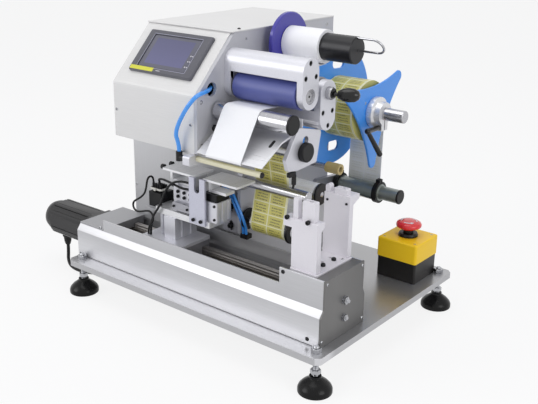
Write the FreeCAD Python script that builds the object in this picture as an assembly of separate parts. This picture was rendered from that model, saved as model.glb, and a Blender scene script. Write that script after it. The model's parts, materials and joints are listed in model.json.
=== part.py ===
import FreeCAD, Part
import math
import os

Vector = FreeCAD.Vector

# Bench-top machine that folds flag labels round a cable.
# Built in machine coordinates: X runs left to right along the front channel,
# Y runs from the front edge of the base plate to the back, Z is up from the floor.
# The finished nodes are moved so that the origin is the middle of the footprint.

# Driving sizes, millimetres
PLATE_LENGTH = 510.0
PLATE_WIDTH = 374.0
PLATE_THICKNESS = 10.0
FOOT_HEIGHT = 50.0
CABINET_WIDTH = 170.0
CABINET_LEFT = 109.4
CABINET_BACK = 343.0
CABINET_TOP = 451.6
ROLLER_REACH = 137.0
WEB_WIDTH = 63.0
REEL_RADIUS = 98.0

# Sizes that follow from them or belong to one group
PLATE_TOP = FOOT_HEIGHT + PLATE_THICKNESS
SIDE_X = CABINET_LEFT + CABINET_WIDTH
SIDE_THICKNESS = 6.0
SHELL = 2.0
REACH_X = SIDE_X + ROLLER_REACH
WEB_X0 = SIDE_X + 22.0
WEB_X1 = WEB_X0 + WEB_WIDTH
WEB_THICKNESS = 0.5
WEB_GAP = 0.35
RUNNING = 0.05

# Roller axes as (y, z, radius)
DRIVE_ROLLER = (95.5, 379.0, 20.0)
NIP_ROLLER = (136.9, 378.0, 20.0)
UPPER_IDLER = (61.4, 346.2, 13.0)
LOWER_IDLER = (98.0, 301.0, 12.0)
POLISHED_ROD = (115.0, 230.0, 8.0)
FRONT_ROLLER = (127.0, 166.0, 15.0)
REAR_ROLLER = (196.0, 206.0, 15.0)
GUIDE_ROLLER = (361.0, 168.0, 14.0)
REWINDER = (203.0, 427.5, 19.5)
REEL = (328.0, 311.0, 49.0)
LINER_ROLL_RADIUS = 24.3
NOSE = (16.0, 292.5, 1.2)

# Front channel
CHANNEL_LEFT = -3.0
CHANNEL_RIGHT = 494.0
CHANNEL_SHEET = 2.5
FRONT_LOW = 25.7
FRONT_HIGH = 33.0
BACK_HIGH = 127.4
BACK_LOW = 132.0
CHAMFER_LOW = 104.0
CHAMFER_HIGH = 113.5
WALL_MID = 132.5
WALL_HIGH = 155.5
STEP_LEFT = 55.0
STEP_RIGHT = 418.0
SCREW_Y = 80.0
SCREW_Z = 87.0

# Folding station at its parked place, gap between the two top plates
GAP_X = 240.5
GAP_WIDTH = 17.0
STATION_FRONT = 59.0
STATION_BACK = 106.0
FOLD_TOP = 238.0

RAIL_END = 434.0
HEAD_LOW = 287.5
SHAFT_RADIUS = 5.0
PANEL_X, PANEL_Y, PANEL_Z = 192.0, 62.5, 413.1
PIN_CIRCLE = 17.4
PIN_TURNS = (90.0, -10.0)
REEL_WINDOW_TURN = 87.0
STAR_RADIUS = 94.5
STAR_TURN = 33.5

# Cable and tube routes, each point is a corner of the route
TUBE_HOLE = (51.85, 376.8)
AIR_TUBE_RADIUS = 3.0
ELBOW = (250.0, 15.0, 290.5)
CABLE_START = (-102.0, SCREW_Y)
CABLE_ENTRY = (62.0, 150.0)
AIR_TUBE = [(256.3, 74.5, 377.0), (284.0, 46.8, 377.0), (288.0, 5.0, 376.0),
            (249.0, 7.0, 321.5), (250.0, 15.0, 300.0), (250.0, 15.0, 290.5)]
MOTOR_CABLE = [(-102.0, 80.0, 35.0), (-102.0, 80.0, 22.0), (-93.0, 71.0, 8.0), (-72.0, 62.0, 3.2),
               (-40.0, 62.0, 3.2), (-8.0, 80.0, 3.2), (25.0, 112.0, 6.0), (50.0, 138.0, 15.0),
               (62.0, 150.0, 30.0), (62.0, 150.0, 47.5)]
VACUUM_TUBES = ([(244.0, 112.0, 205.0), (259.5, 112.0, 205.0), (268.0, 110.5, 193.0), (279.0, 110.0, 176.0),
                 (283.3, 112.5, 163.0), (283.8, 116.0, 153.5), (283.8, 116.0, 144.5)],
                [(244.0, 112.0, 211.0), (262.5, 112.0, 211.0), (273.0, 110.5, 197.0), (284.0, 110.0, 179.0),
                 (288.8, 112.5, 163.0), (289.3, 116.0, 153.5), (289.3, 116.0, 144.5)])
SENSOR_CABLE = [(124.0, 83.0, 200.0), (124.0, 83.0, 207.0), (124.3, 78.1, 212.0), (125.0, 71.2, 212.0),
                (126.5, 66.3, 206.5), (127.0, 64.0, 197.0), (125.0, 62.0, 187.0), (117.0, 60.0, 179.0),
                (108.0, 59.0, 173.5), (101.0, 58.7, 168.0), (101.0, 58.4, 159.5), (108.5, 58.0, 154.5),
                (119.0, 57.5, 156.5), (131.0, 57.0, 161.0), (142.5, 56.0, 163.5), (150.0, 55.5, 157.5),
                (149.5, 55.0, 148.0), (143.5, 54.0, 141.5), (141.0, 53.0, 134.0), (141.0, 53.0, 126.0)]
CORDS = ("air_tube", "motor_cable", "sensor_cable", "vacuum_tube_1", "vacuum_tube_2")

NODES = {}


def node(name, *shapes):
    """Add pieces to a node; the pieces of one node stay separate solids inside it."""
    for shape in shapes:
        NODES.setdefault(name, []).extend(shape.Solids)


def box(x0, x1, y0, y1, z0, z1):
    return Part.makeBox(x1 - x0, y1 - y0, z1 - z0, Vector(x0, y0, z0))


def rod_x(y, z, r, x0, x1):
    return Part.makeCylinder(r, x1 - x0, Vector(x0, y, z), Vector(1, 0, 0))


def rod_y(x, z, r, y0, y1):
    return Part.makeCylinder(r, y1 - y0, Vector(x, y0, z), Vector(0, 1, 0))


def rod_z(x, y, r, z0, z1):
    return Part.makeCylinder(r, z1 - z0, Vector(x, y, z0), Vector(0, 0, 1))


def lift_point(plane, u, v, w):
    """Point of a plane's (u, v) coordinates at level w along its normal."""
    if plane == "yz":
        return Vector(w, u, v)
    if plane == "xz":
        return Vector(u, w, v)
    return Vector(u, v, w)


def prism(points, plane, w0, w1):
    """Extrude a closed outline; each point is (u, v) or (u, v, corner radius)."""
    count = len(points)
    corners = []
    for i in range(count):
        u, v = points[i][0], points[i][1]
        radius = points[i][2] if len(points[i]) > 2 else 0.0
        if radius <= 0.0:
            corners.append([(u, v)])
            continue
        pu, pv = points[i - 1][0], points[i - 1][1]
        nu, nv = points[(i + 1) % count][0], points[(i + 1) % count][1]
        a = Vector(pu - u, pv - v, 0).normalize()
        b = Vector(nu - u, nv - v, 0).normalize()
        half = 0.5 * a.getAngle(b)
        reach = radius / math.tan(half)
        middle = (a + b).normalize() * (radius / math.sin(half) - radius)
        corners.append([(u + a.x * reach, v + a.y * reach),
                        (u + middle.x, v + middle.y),
                        (u + b.x * reach, v + b.y * reach)])
    edges = []
    for i in range(count):
        here, there = corners[i], corners[(i + 1) % count]
        if len(here) == 3:
            edges.append(Part.Arc(*[lift_point(plane, p[0], p[1], w0) for p in here]).toShape())
        start = lift_point(plane, here[-1][0], here[-1][1], w0)
        end = lift_point(plane, there[0][0], there[0][1], w0)
        if (end - start).Length > 1e-6:
            edges.append(Part.LineSegment(start, end).toShape())
    face = Part.Face(Part.Wire(edges))
    return face.extrude(lift_point(plane, 0, 0, w1 - w0))


def turned_x(profile, y, z):
    """Turn a closed (x, radius) outline about a line along X."""
    points = [Vector(x, y + r, z) for x, r in profile]
    wire = Part.makePolygon(points + [points[0]])
    return Part.Face(wire).revolve(Vector(0, y, z), Vector(1, 0, 0), 360)


def turned_z(profile, x, y):
    """Turn a closed (radius, z) outline about a vertical line."""
    points = [Vector(x + r, y, z) for r, z in profile]
    wire = Part.makePolygon(points + [points[0]])
    return Part.Face(wire).revolve(Vector(x, y, 0), Vector(0, 0, 1), 360)


def hexagon_z(x, y, across, z0, z1):
    r = across / math.sqrt(3)
    points = [(x + r * math.cos(math.radians(60 * k)), y + r * math.sin(math.radians(60 * k)))
              for k in range(6)]
    return prism(points, "xy", z0, z1)


def cable(points, radius, name):
    """Round cable along straight runs joined by tangent arcs, as wide as the runs allow."""
    route = [Vector(*p) for p in points]
    edges = []
    start = route[0]
    tightest = 1e9
    for before, corner, after in zip(route[:-2], route[1:-1], route[2:]):
        a = (before - corner)
        b = (after - corner)
        shorter = min(a.Length, b.Length)
        a.normalize()
        b.normalize()
        turn = math.pi - a.getAngle(b)
        reach = 0.45 * shorter
        bend = reach / math.tan(0.5 * turn)
        tightest = min(tightest, bend)
        enter = corner + a * reach
        leave = corner + b * reach
        inward = (a + b).normalize()
        middle = corner + inward * (bend / math.cos(0.5 * turn) - bend)
        edges.append(Part.LineSegment(start, enter).toShape())
        edges.append(Part.Arc(enter, middle, leave).toShape())
        start = leave
    edges.append(Part.LineSegment(start, route[-1]).toShape())
    path = Part.Wire(edges)
    section = Part.Wire([Part.makeCircle(radius, route[0], route[1] - route[0])])
    solid = path.makePipeShell([section], True, False)
    print("%s: length %.1f, tightest bend %.1f, volume ratio %.4f"
          % (name, path.Length, tightest, solid.Volume / (math.pi * radius ** 2 * path.Length)))
    return solid


# A web path is a list of circles (y, z, radius, sense) joined by tangent runs.
# Sense +1 turns counter-clockwise seen with Y to the right and Z up.
def web_runs(circles):
    """Tangent runs between neighbouring circles of a web path."""
    runs = []
    for (y1, z1, r1, s1), (y2, z2, r2, s2) in zip(circles[:-1], circles[1:]):
        dy, dz = y2 - y1, z2 - z1
        angle = math.atan2(dz, dy) - math.asin((s2 * r2 - s1 * r1) / math.hypot(dy, dz))
        ny, nz = -math.sin(angle), math.cos(angle)
        runs.append(((y1 - s1 * r1 * ny, z1 - s1 * r1 * nz),
                     (y2 - s2 * r2 * ny, z2 - s2 * r2 * nz), angle))
    return runs


def web_side(circles, runs, offset, x):
    """Edges of one side of the web, shifted to the left of its travel by offset."""
    edges = []
    for i, (start, end, angle) in enumerate(runs):
        ny, nz = -math.sin(angle) * offset, math.cos(angle) * offset
        edges.append(Part.LineSegment(Vector(x, start[0] + ny, start[1] + nz),
                                      Vector(x, end[0] + ny, end[1] + nz)).toShape())
        if i + 1 == len(runs):
            break
        y, z, r, sense = circles[i + 1]
        side = r - sense * offset
        turn = runs[i + 1][2] - angle
        while turn * sense < 0:
            turn += sense * 2 * math.pi
        at = []
        for part in (0.0, 0.5, 1.0):
            a = angle + part * turn
            at.append(Vector(x, y + sense * side * math.sin(a), z - sense * side * math.cos(a)))
        edges.append(Part.Arc(*at).toShape())
    return edges


def web(circles, x0, x1):
    """Thin band of constant thickness along a web path."""
    runs = web_runs(circles)
    half = 0.5 * WEB_THICKNESS
    left = web_side(circles, runs, half, x0)
    right = web_side(circles, runs, -half, x0)
    first = Part.LineSegment(left[0].Vertexes[0].Point, right[0].Vertexes[0].Point).toShape()
    last = Part.LineSegment(left[-1].Vertexes[-1].Point, right[-1].Vertexes[-1].Point).toShape()
    wire = Part.Wire(Part.__sortEdges__(left + right + [first, last]))
    return Part.Face(wire).extrude(Vector(x1 - x0, 0, 0))


def touching(roller, sense):
    """Circle of a web that runs round a roller, a hair off its surface."""
    y, z, r = roller
    return (y, z, r + WEB_GAP + 0.5 * WEB_THICKNESS, sense)


def base_and_feet():
    inset_x, inset_y = 16.0, 18.0
    feet = [(inset_x, inset_y), (PLATE_LENGTH - inset_x, inset_y),
            (PLATE_LENGTH - inset_x, PLATE_WIDTH - inset_y), (inset_x, PLATE_WIDTH - inset_y)]
    cut = 7.0
    long, wide = PLATE_LENGTH, PLATE_WIDTH
    outline = [(cut, 0), (long - cut, 0), (long, cut), (long, wide - cut),
               (long - cut, wide), (cut, wide), (0, wide - cut), (0, cut)]
    plate = prism(outline, "xy", FOOT_HEIGHT, PLATE_TOP)
    stud_radius = 4.0
    for x, y in feet:
        plate = plate.cut(rod_z(x, y, stud_radius + 0.3, FOOT_HEIGHT - 1, PLATE_TOP + 1))
    cable_hole = rod_z(CABLE_ENTRY[0], CABLE_ENTRY[1], 5.0, FOOT_HEIGHT - 1, PLATE_TOP + 1)
    node("base_plate", plate.cut(cable_hole))
    node("cable_glands", turned_z([(0, FOOT_HEIGHT - 2.5), (7, FOOT_HEIGHT - 2.5), (8, FOOT_HEIGHT),
                                   (5, FOOT_HEIGHT), (5, PLATE_TOP), (7, PLATE_TOP), (6.5, PLATE_TOP + 1.5),
                                   (0, PLATE_TOP + 1.5)], CABLE_ENTRY[0], CABLE_ENTRY[1]))
    pads, studs, nuts = [], [], []
    for x, y in feet:
        # moulded foot: flat rim, domed shoulder and a short neck
        pads.append(turned_z([(0, 1.5), (19, 1.5), (20, 0), (23.5, 0), (24, 1), (24, 6), (22.5, 9.5),
                              (18, 14.5), (12, 19), (8.5, 22), (8.5, 25), (4.1, 25), (4.1, 16),
                              (0, 16)], x, y))
        studs.append(rod_z(x, y, stud_radius, 16.0, PLATE_TOP + 9))
        for z in (27.5, FOOT_HEIGHT - 6.5, PLATE_TOP):
            nut = hexagon_z(x, y, 13.0, z, z + 6.5)
            nuts.append(nut.cut(rod_z(x, y, stud_radius + 0.02, z - 1, z + 8)))
    node("foot_pads", *pads)
    node("foot_studs", *studs)
    node("foot_studs", *nuts)


def channel():
    floor = PLATE_TOP
    t = CHANNEL_SHEET
    lean = 0.9
    outline = [(FRONT_LOW, floor, 2), (FRONT_LOW, CHAMFER_LOW), (FRONT_HIGH, CHAMFER_HIGH),
               (FRONT_HIGH, WALL_HIGH), (FRONT_HIGH + t, WALL_HIGH),
               (FRONT_HIGH + t, CHAMFER_HIGH - lean), (FRONT_LOW + t, CHAMFER_LOW - lean),
               (FRONT_LOW + t, floor + t), (BACK_LOW - t, floor + t),
               (BACK_LOW - t, CHAMFER_LOW - lean), (BACK_HIGH - t, CHAMFER_HIGH - lean),
               (BACK_HIGH - t, WALL_HIGH), (BACK_HIGH, WALL_HIGH), (BACK_HIGH, CHAMFER_HIGH),
               (BACK_LOW, CHAMFER_LOW), (BACK_LOW, floor, 2)]
    shell = prism(outline, "yz", CHANNEL_LEFT, CHANNEL_RIGHT - t)
    steps = prism([(CHANNEL_LEFT - 1, CHAMFER_HIGH + 0.4), (STEP_LEFT, CHAMFER_HIGH + 0.4),
                   (STEP_LEFT, WALL_MID), (STEP_RIGHT, WALL_MID), (STEP_RIGHT, WALL_HIGH + 1),
                   (CHANNEL_LEFT - 1, WALL_HIGH + 1)], "xz", FRONT_LOW - 1, BACK_LOW + 1)
    shell = shell.cut(steps)
    node("channel_shell", shell)

    # right end plate follows the channel's outline and folds in over its top
    lip = 16.0
    end_outline = [(FRONT_LOW, floor), (FRONT_LOW, CHAMFER_LOW), (FRONT_HIGH, CHAMFER_HIGH),
                   (FRONT_HIGH, WALL_HIGH), (BACK_HIGH, WALL_HIGH), (BACK_HIGH, CHAMFER_HIGH),
                   (BACK_LOW, CHAMFER_LOW), (BACK_LOW, floor)]
    end = prism(end_outline, "yz", CHANNEL_RIGHT - t, CHANNEL_RIGHT)
    inner0, inner1 = FRONT_HIGH + t + 0.2, BACK_HIGH - t - 0.2
    end = end.fuse(box(CHANNEL_RIGHT - lip, CHANNEL_RIGHT - t, inner0, inner1,
                       WALL_HIGH - t, WALL_HIGH)).removeSplitter()
    for z in (SCREW_Z, SCREW_Z + 26):
        end = end.cut(rod_x(SCREW_Y, z, 3.2, CHANNEL_RIGHT - t - 1, CHANNEL_RIGHT + 1))
    node("channel_covers", end)

    # flat cover over the motor coupling, turned down at its inner edge
    cover = prism([(FRONT_HIGH, CHAMFER_HIGH + 0.5), (FRONT_HIGH, CHAMFER_HIGH + 3.0),
                   (BACK_HIGH, CHAMFER_HIGH + 3.0), (BACK_HIGH, CHAMFER_HIGH + 0.5)],
                  "yz", CHANNEL_LEFT, STEP_LEFT - 1.5)
    cover = cover.fuse(box(STEP_LEFT - 4.0, STEP_LEFT - 1.5, FRONT_HIGH + t + 0.5,
                           BACK_HIGH - t - 0.5, 101, CHAMFER_HIGH + 1.0)).removeSplitter()
    node("channel_covers", cover)

    # thick motor plate closing the left end
    plate = prism([(FRONT_LOW + t + 0.2, floor + t), (FRONT_LOW + t + 0.2, CHAMFER_LOW - 1.5),
                   (FRONT_HIGH + t + 0.2, CHAMFER_HIGH - 2), (BACK_HIGH - t - 0.2, CHAMFER_HIGH - 2),
                   (BACK_LOW - t - 0.2, CHAMFER_LOW - 1.5), (BACK_LOW - t - 0.2, floor + t)],
                  "yz", CHANNEL_LEFT, CHANNEL_LEFT + 8)
    node("channel_covers", plate.cut(rod_x(SCREW_Y, SCREW_Z, 20.0, CHANNEL_LEFT - 1, CHANNEL_LEFT + 9)))


def linear_drive():
    floor = PLATE_TOP + CHANNEL_SHEET
    half = 30.0
    # U-shaped base extrusion with screw grooves along its flanks
    outline = [(SCREW_Y - half, floor), (SCREW_Y - half, floor + 12), (SCREW_Y - half + 3, floor + 14),
               (SCREW_Y - half + 3, floor + 20), (SCREW_Y - half, floor + 22), (SCREW_Y - half, 100),
               (SCREW_Y - half + 11, 100), (SCREW_Y - half + 11, 74, 3), (SCREW_Y + half - 11, 74, 3),
               (SCREW_Y + half - 11, 100), (SCREW_Y + half, 100), (SCREW_Y + half, floor + 22),
               (SCREW_Y + half - 3, floor + 20), (SCREW_Y + half - 3, floor + 14),
               (SCREW_Y + half, floor + 12), (SCREW_Y + half, floor)]
    body = prism(outline, "yz", 36, 484)
    node("drive_base", body)
    rails = []
    for y in (SCREW_Y - half + 5.5, SCREW_Y + half - 5.5):
        rails.append(prism([(y - 4, 100), (y - 4, 103), (y - 2.8, 104), (y - 2.8, 105.2),
                            (y - 4, 106.2), (y - 4, 108), (y + 4, 108), (y + 4, 106.2),
                            (y + 2.8, 105.2), (y + 2.8, 104), (y + 4, 103), (y + 4, 100)],
                           "yz", STEP_LEFT + 1, RAIL_END))
    node("drive_rails", *rails)
    journal = 6.0
    blocks = []
    for x0 in (38.0, 468.0):
        block = prism([(SCREW_Y - 15, 74), (SCREW_Y - 18.5, 78), (SCREW_Y - 18.5, 99), (SCREW_Y + 18.5, 99),
                       (SCREW_Y + 18.5, 78), (SCREW_Y + 15, 74)], "yz", x0, x0 + 14)
        blocks.append(block.cut(rod_x(SCREW_Y, SCREW_Z, journal + RUNNING, x0 - 1, x0 + 15)))
    node("drive_rails", *blocks)
    screw = turned_x([(28, 0), (28, journal), (52.5, journal), (52.5, 8.0), (467.5, 8.0),
                      (467.5, journal), (483, journal), (483, 0)], SCREW_Y, SCREW_Z)
    node("ball_screw", screw)
    # slit coupling between the motor shaft and the screw
    coupling = turned_x([(8, 0), (8, 13.5), (9, 14.5), (33, 14.5), (34, 13.5), (34, 0)],
                        SCREW_Y, SCREW_Z)
    coupling = coupling.cut(rod_x(SCREW_Y, SCREW_Z, journal, 27.9, 35))
    for x, side in ((15.0, 1), (19.5, -1), (24.0, 1)):
        slit = box(x, x + 1.2, SCREW_Y - 16, SCREW_Y + 16, SCREW_Z - 16, SCREW_Z + 16)
        slit.translate(Vector(0, 0, side * 7.5))
        coupling = coupling.cut(slit)
    shaft = rod_x(SCREW_Y, SCREW_Z, 5.0, -12, 8)
    node("ball_screw", coupling, shaft)


def motor():
    half = 28.0
    y, z = SCREW_Y, SCREW_Z
    flange = prism([(y - half, z - half, 6), (y - half, z + half, 6), (y + half, z + half, 6),
                    (y + half, z - half, 6)], "yz", CHANNEL_LEFT - 9, CHANNEL_LEFT)
    flange = flange.cut(rod_x(y, z, 5.0 + RUNNING, CHANNEL_LEFT - 10, CHANNEL_LEFT + 1))
    node("motor_body", flange)
    length = 100.0
    x1 = CHANNEL_LEFT - 9
    x0 = x1 - length
    body = prism([(y - half, z - half, 18), (y - half, z + half, 18), (y + half, z + half, 18),
                  (y + half, z - half, 18)], "yz", x0, x1)
    # long cooling ribs on each rounded corner
    for quarter in range(4):
        for spread in (-24, -8, 8, 24):
            a = math.radians(45 + 90 * quarter + spread)
            groove = box(x0 - 1, x1 - 6, -1.1, 1.1, half + 1.4, half + 12)
            groove.rotate(Vector(0, 0, 0), Vector(1, 0, 0), math.degrees(a) - 90)
            groove.translate(Vector(0, y, z))
            body = body.cut(groove)
    body = body.cut(rod_x(y, z, 7.0, x1 - 14, x1 + 1))
    node("motor_body", body)
    cap = turned_x([(x0, 0), (x0, 27.5), (x0 - 10, 27.0), (x0 - 18, 24.0), (x0 - 22, 19),
                    (x0 - 24, 12), (x0 - 24, 0)], y, z - 1)
    node("motor_body", cap)
    gx = CABLE_START[0]
    gland = turned_z([(0, z - half), (8.5, z - half), (8.5, z - 36), (7.0, z - 38), (6.2, z - 46),
                      (4.4, z - 52), (0, z - 52)], gx, y)
    node("cable_glands", gland)


def towers():
    base_top = 157.0
    base = prism([(431, 37.5, 3), (477, 37.5, 3), (477, 123.2, 3), (431, 123.2, 3)], "xy",
                 base_top - 8, base_top)
    for x, y in ((454, 62), (454, 82), (454, 102)):
        base = base.cut(rod_z(x, y, 2.6, base_top - 9, base_top + 1))
    node("cable_towers", base)
    # two walls bring the plate down to the top of the drive's base
    for y in (SCREW_Y - 30, SCREW_Y + 20):
        node("cable_towers", box(RAIL_END + 2, 472, y, y + 10, 100, base_top - 8))
    columns, caps, fingers, rests = [], [], [], []
    slot0, slot1 = 439.0, 446.0
    for y0, cap_left, cap_top, depth in ((41.3, 417.0, 227.0, 16.5), (115.0, 431.0, 246.0, 24.0)):
        columns.append(prism([(431, base_top, 1), (431, cap_top - 13), (473, cap_top - 13),
                              (473, base_top, 1)], "xz", y0, y0 + 9.5))
        cap = prism([(y0, cap_top - 13), (y0, cap_top), (y0 + depth, cap_top),
                     (y0 + depth, cap_top - 6.5), (y0 + 9.5, cap_top - 13)], "yz", cap_left, 473)
        caps.append(cap)
        # rounded finger and square rest leave the cable slot between them
        fingers.append(prism([(431, cap_top), (431, 257, 4), (slot0, 257, 3.9), (slot0, cap_top)],
                             "xz", y0 + 2.5, y0 + 11.0))
        rest = prism([(slot1, cap_top), (slot1, 254.5, 1.5), (466, 254.5, 1.5), (466, cap_top)],
                     "xz", y0 + 2.5, y0 + 12.5)
        rests.append(rest.cut(rod_z(457, y0 + 7.5, 2.8, 246.5, 256)))
    node("cable_towers", *columns)
    node("cable_towers", *caps)
    node("tower_jaws", *fingers)
    node("tower_jaws", *rests)


def cabinet():
    x0, x1 = CABINET_LEFT, SIDE_X - SIDE_THICKNESS
    front, panel_low, panel_back = 21.4, 370.9, 100.0
    head_low, shoulder = HEAD_LOW, 133.5
    top, back = CABINET_TOP, CABINET_BACK
    outer = [(front, head_low), (front, panel_low), (panel_back, top), (back, top), (back, head_low)]
    head = prism(outer, "yz", x0, x1)
    t = SHELL
    slope = (panel_back - front, top - panel_low)
    norm = math.hypot(*slope)
    rz = t * slope[0] / norm
    inner = [(front + t, head_low + t), (front + t, panel_low - rz * 0.4), (panel_back + 0.4, top - t),
             (back - t, top - t), (back - t, head_low + t)]
    head = head.cut(prism(inner, "yz", x0 + t, x1 + 1))
    # opening for the operator panel, square to the sloping face
    lean = math.degrees(math.atan2(slope[1], slope[0]))
    window = box(-56, 56, -33, 33, -12, 12)
    window.rotate(Vector(0, 0, 0), Vector(1, 0, 0), lean)
    window.translate(Vector(PANEL_X, PANEL_Y, PANEL_Z))
    head = head.cut(window)
    # open towards the lower cabinet
    head = head.cut(box(x0 + 12, x1 - 8, shoulder + 12, back - 12, head_low - 1, head_low + t + 1))
    lid_front = panel_back - 4
    head = head.cut(box(x0 - 1, x1 + 1, lid_front, back + 1, top - t, top + 1))
    node("cabinet_head", head)
    lid = prism([(lid_front, top - t), (lid_front, top), (back + 2, top), (back + 2, top - 12),
                 (back + 0.2, top - 12), (back + 0.2, top - t)], "yz", x0 - 0.6, SIDE_X)
    lid = lid.cut(box(x1 - 1, SIDE_X + 1, back - 1, back + 3, top - 13, top - t))
    node("cabinet_lid", lid)

    low_left = 25.0
    low = box(low_left, x1, shoulder, back, PLATE_TOP, head_low)
    low = low.cut(box(low_left + t, x1 + 1, shoulder + t, back - t, PLATE_TOP - 1, head_low - t))
    low = low.cut(box(x0 + 12, x1 - 8, shoulder + 12, back - 12, head_low - t - 1, head_low + 1))
    # ventilation slots in the back wall
    for k in range(6):
        z = 110 + 12 * k
        low = low.cut(prism([(70, z, 1.9), (130, z, 1.9), (130, z + 4, 1.9), (70, z + 4, 1.9)],
                            "xz", back - t - 1, back + 1))
    node("cabinet_lower", low)

    # machined side plate that carries every roller
    side = prism([(front, head_low + 2), (front, panel_low), (panel_back, top - t), (back, top - t),
                  (back, PLATE_TOP), (shoulder + 1, PLATE_TOP), (shoulder + 1, 137, 3),
                  (114, 137, 8), (114, 258, 10), (62, head_low, 6)], "yz", x1, SIDE_X)
    for roller, bore in ((DRIVE_ROLLER, 12.0), (NIP_ROLLER, 12.0), (REWINDER, 14.0), (REEL, 13.0)):
        side = side.cut(rod_x(roller[0], roller[1], bore, x1 - 1, SIDE_X + 1))
    for roller in (UPPER_IDLER, LOWER_IDLER, FRONT_ROLLER, REAR_ROLLER):
        side = side.cut(rod_x(roller[0], roller[1], 5.0, x1 - 1, SIDE_X + 1))
    side = side.cut(rod_x(TUBE_HOLE[0], TUBE_HOLE[1], 9.8, x1 - 1, SIDE_X + 1))
    node("side_plate", side)
    # valve block behind the side plate, bored at an angle for the end of the air tube
    start, bend = Vector(*AIR_TUBE[0]), Vector(*AIR_TUBE[1])
    valve = box(250, x1, 70, 82, start.z - 6, start.z + 6)
    node("tube_fittings", valve.cut(Part.makeCylinder(AIR_TUBE_RADIUS + 0.3, 20, start, bend - start)))

    # upright plate behind the station, bolted to the side plate's front edge
    brace = prism([(237, 138, 3), (237, 203, 6), (262, 203, 3), (x1, 192), (x1, 138)],
                  "xz", 121.0, 126.0)
    for z in (149, 180):
        brace = brace.cut(prism([(250.5, z - 8, 3.9), (250.5, z + 8, 3.9), (258.5, z + 8, 3.9),
                                 (258.5, z - 8, 3.9)], "xz", 120, 127))
    node("support_plates", brace)
    # fittings at both ends of the two vacuum tubes
    top, low = VACUUM_TUBES[0][0], VACUUM_TUBES[0][-1]
    node("tube_fittings", box(top[0] - 9, top[0], top[1] - 3, 121.0, top[2] - 4, top[2] + 10))
    node("tube_fittings", box(low[0] - 4, low[0] + 9.5, low[1] - 3, BACK_HIGH - CHANNEL_SHEET,
                               low[2] - 7.5, low[2]))


def operator_panel():
    slope = math.degrees(math.atan2(CABINET_TOP - 370.9, 100 - 21.4))
    place = Vector(PANEL_X, PANEL_Y, PANEL_Z)

    def seat(shape):
        shape.rotate(Vector(0, 0, 0), Vector(1, 0, 0), slope)
        shape.translate(place)
        return shape

    w, h = 62.5, 37.0
    # bezel with bevelled rim, raised off the sloping face
    rim = prism([(-w, -h, 3), (w, -h, 3), (w, h, 3), (-w, h, 3)], "xy", 0.0, 5.0)
    edges = [e for e in rim.Edges if abs(e.BoundBox.ZMin - 5.0) < 1e-6 and abs(e.BoundBox.ZMax - 5.0) < 1e-6]
    rim = rim.makeChamfer(1.6, edges)
    rim = rim.cut(prism([(-49, -29, 1), (47, -29, 1), (47, 29, 1), (-49, 29, 1)], "xy", 3.2, 6.0))
    back = prism([(-55, -32, 2), (55, -32, 2), (55, 32, 2), (-55, 32, 2)], "xy", -30.0, 0.0)
    bezel = rim.fuse(back).removeSplitter()
    bezel = bezel.cut(prism([(-48, -28, 1), (46, -28, 1), (46, 28, 1), (-48, 28, 1)], "xy", 1.9, 3.3))
    node("panel_bezel", seat(bezel))
    glass = prism([(-47.8, -27.8, 1), (45.8, -27.8, 1), (45.8, 27.8, 1), (-47.8, 27.8, 1)],
                  "xy", 1.95, 3.6)
    node("panel_screen", seat(glass))


def capsule(y, z0, z1, half, x0, x1):
    """Plate with rounded ends, standing in the YZ plane."""
    r = half - 0.05
    return prism([(y - half, z0, r), (y - half, z1, r), (y + half, z1, r), (y + half, z0, r)],
                 "yz", x0, x1)


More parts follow.
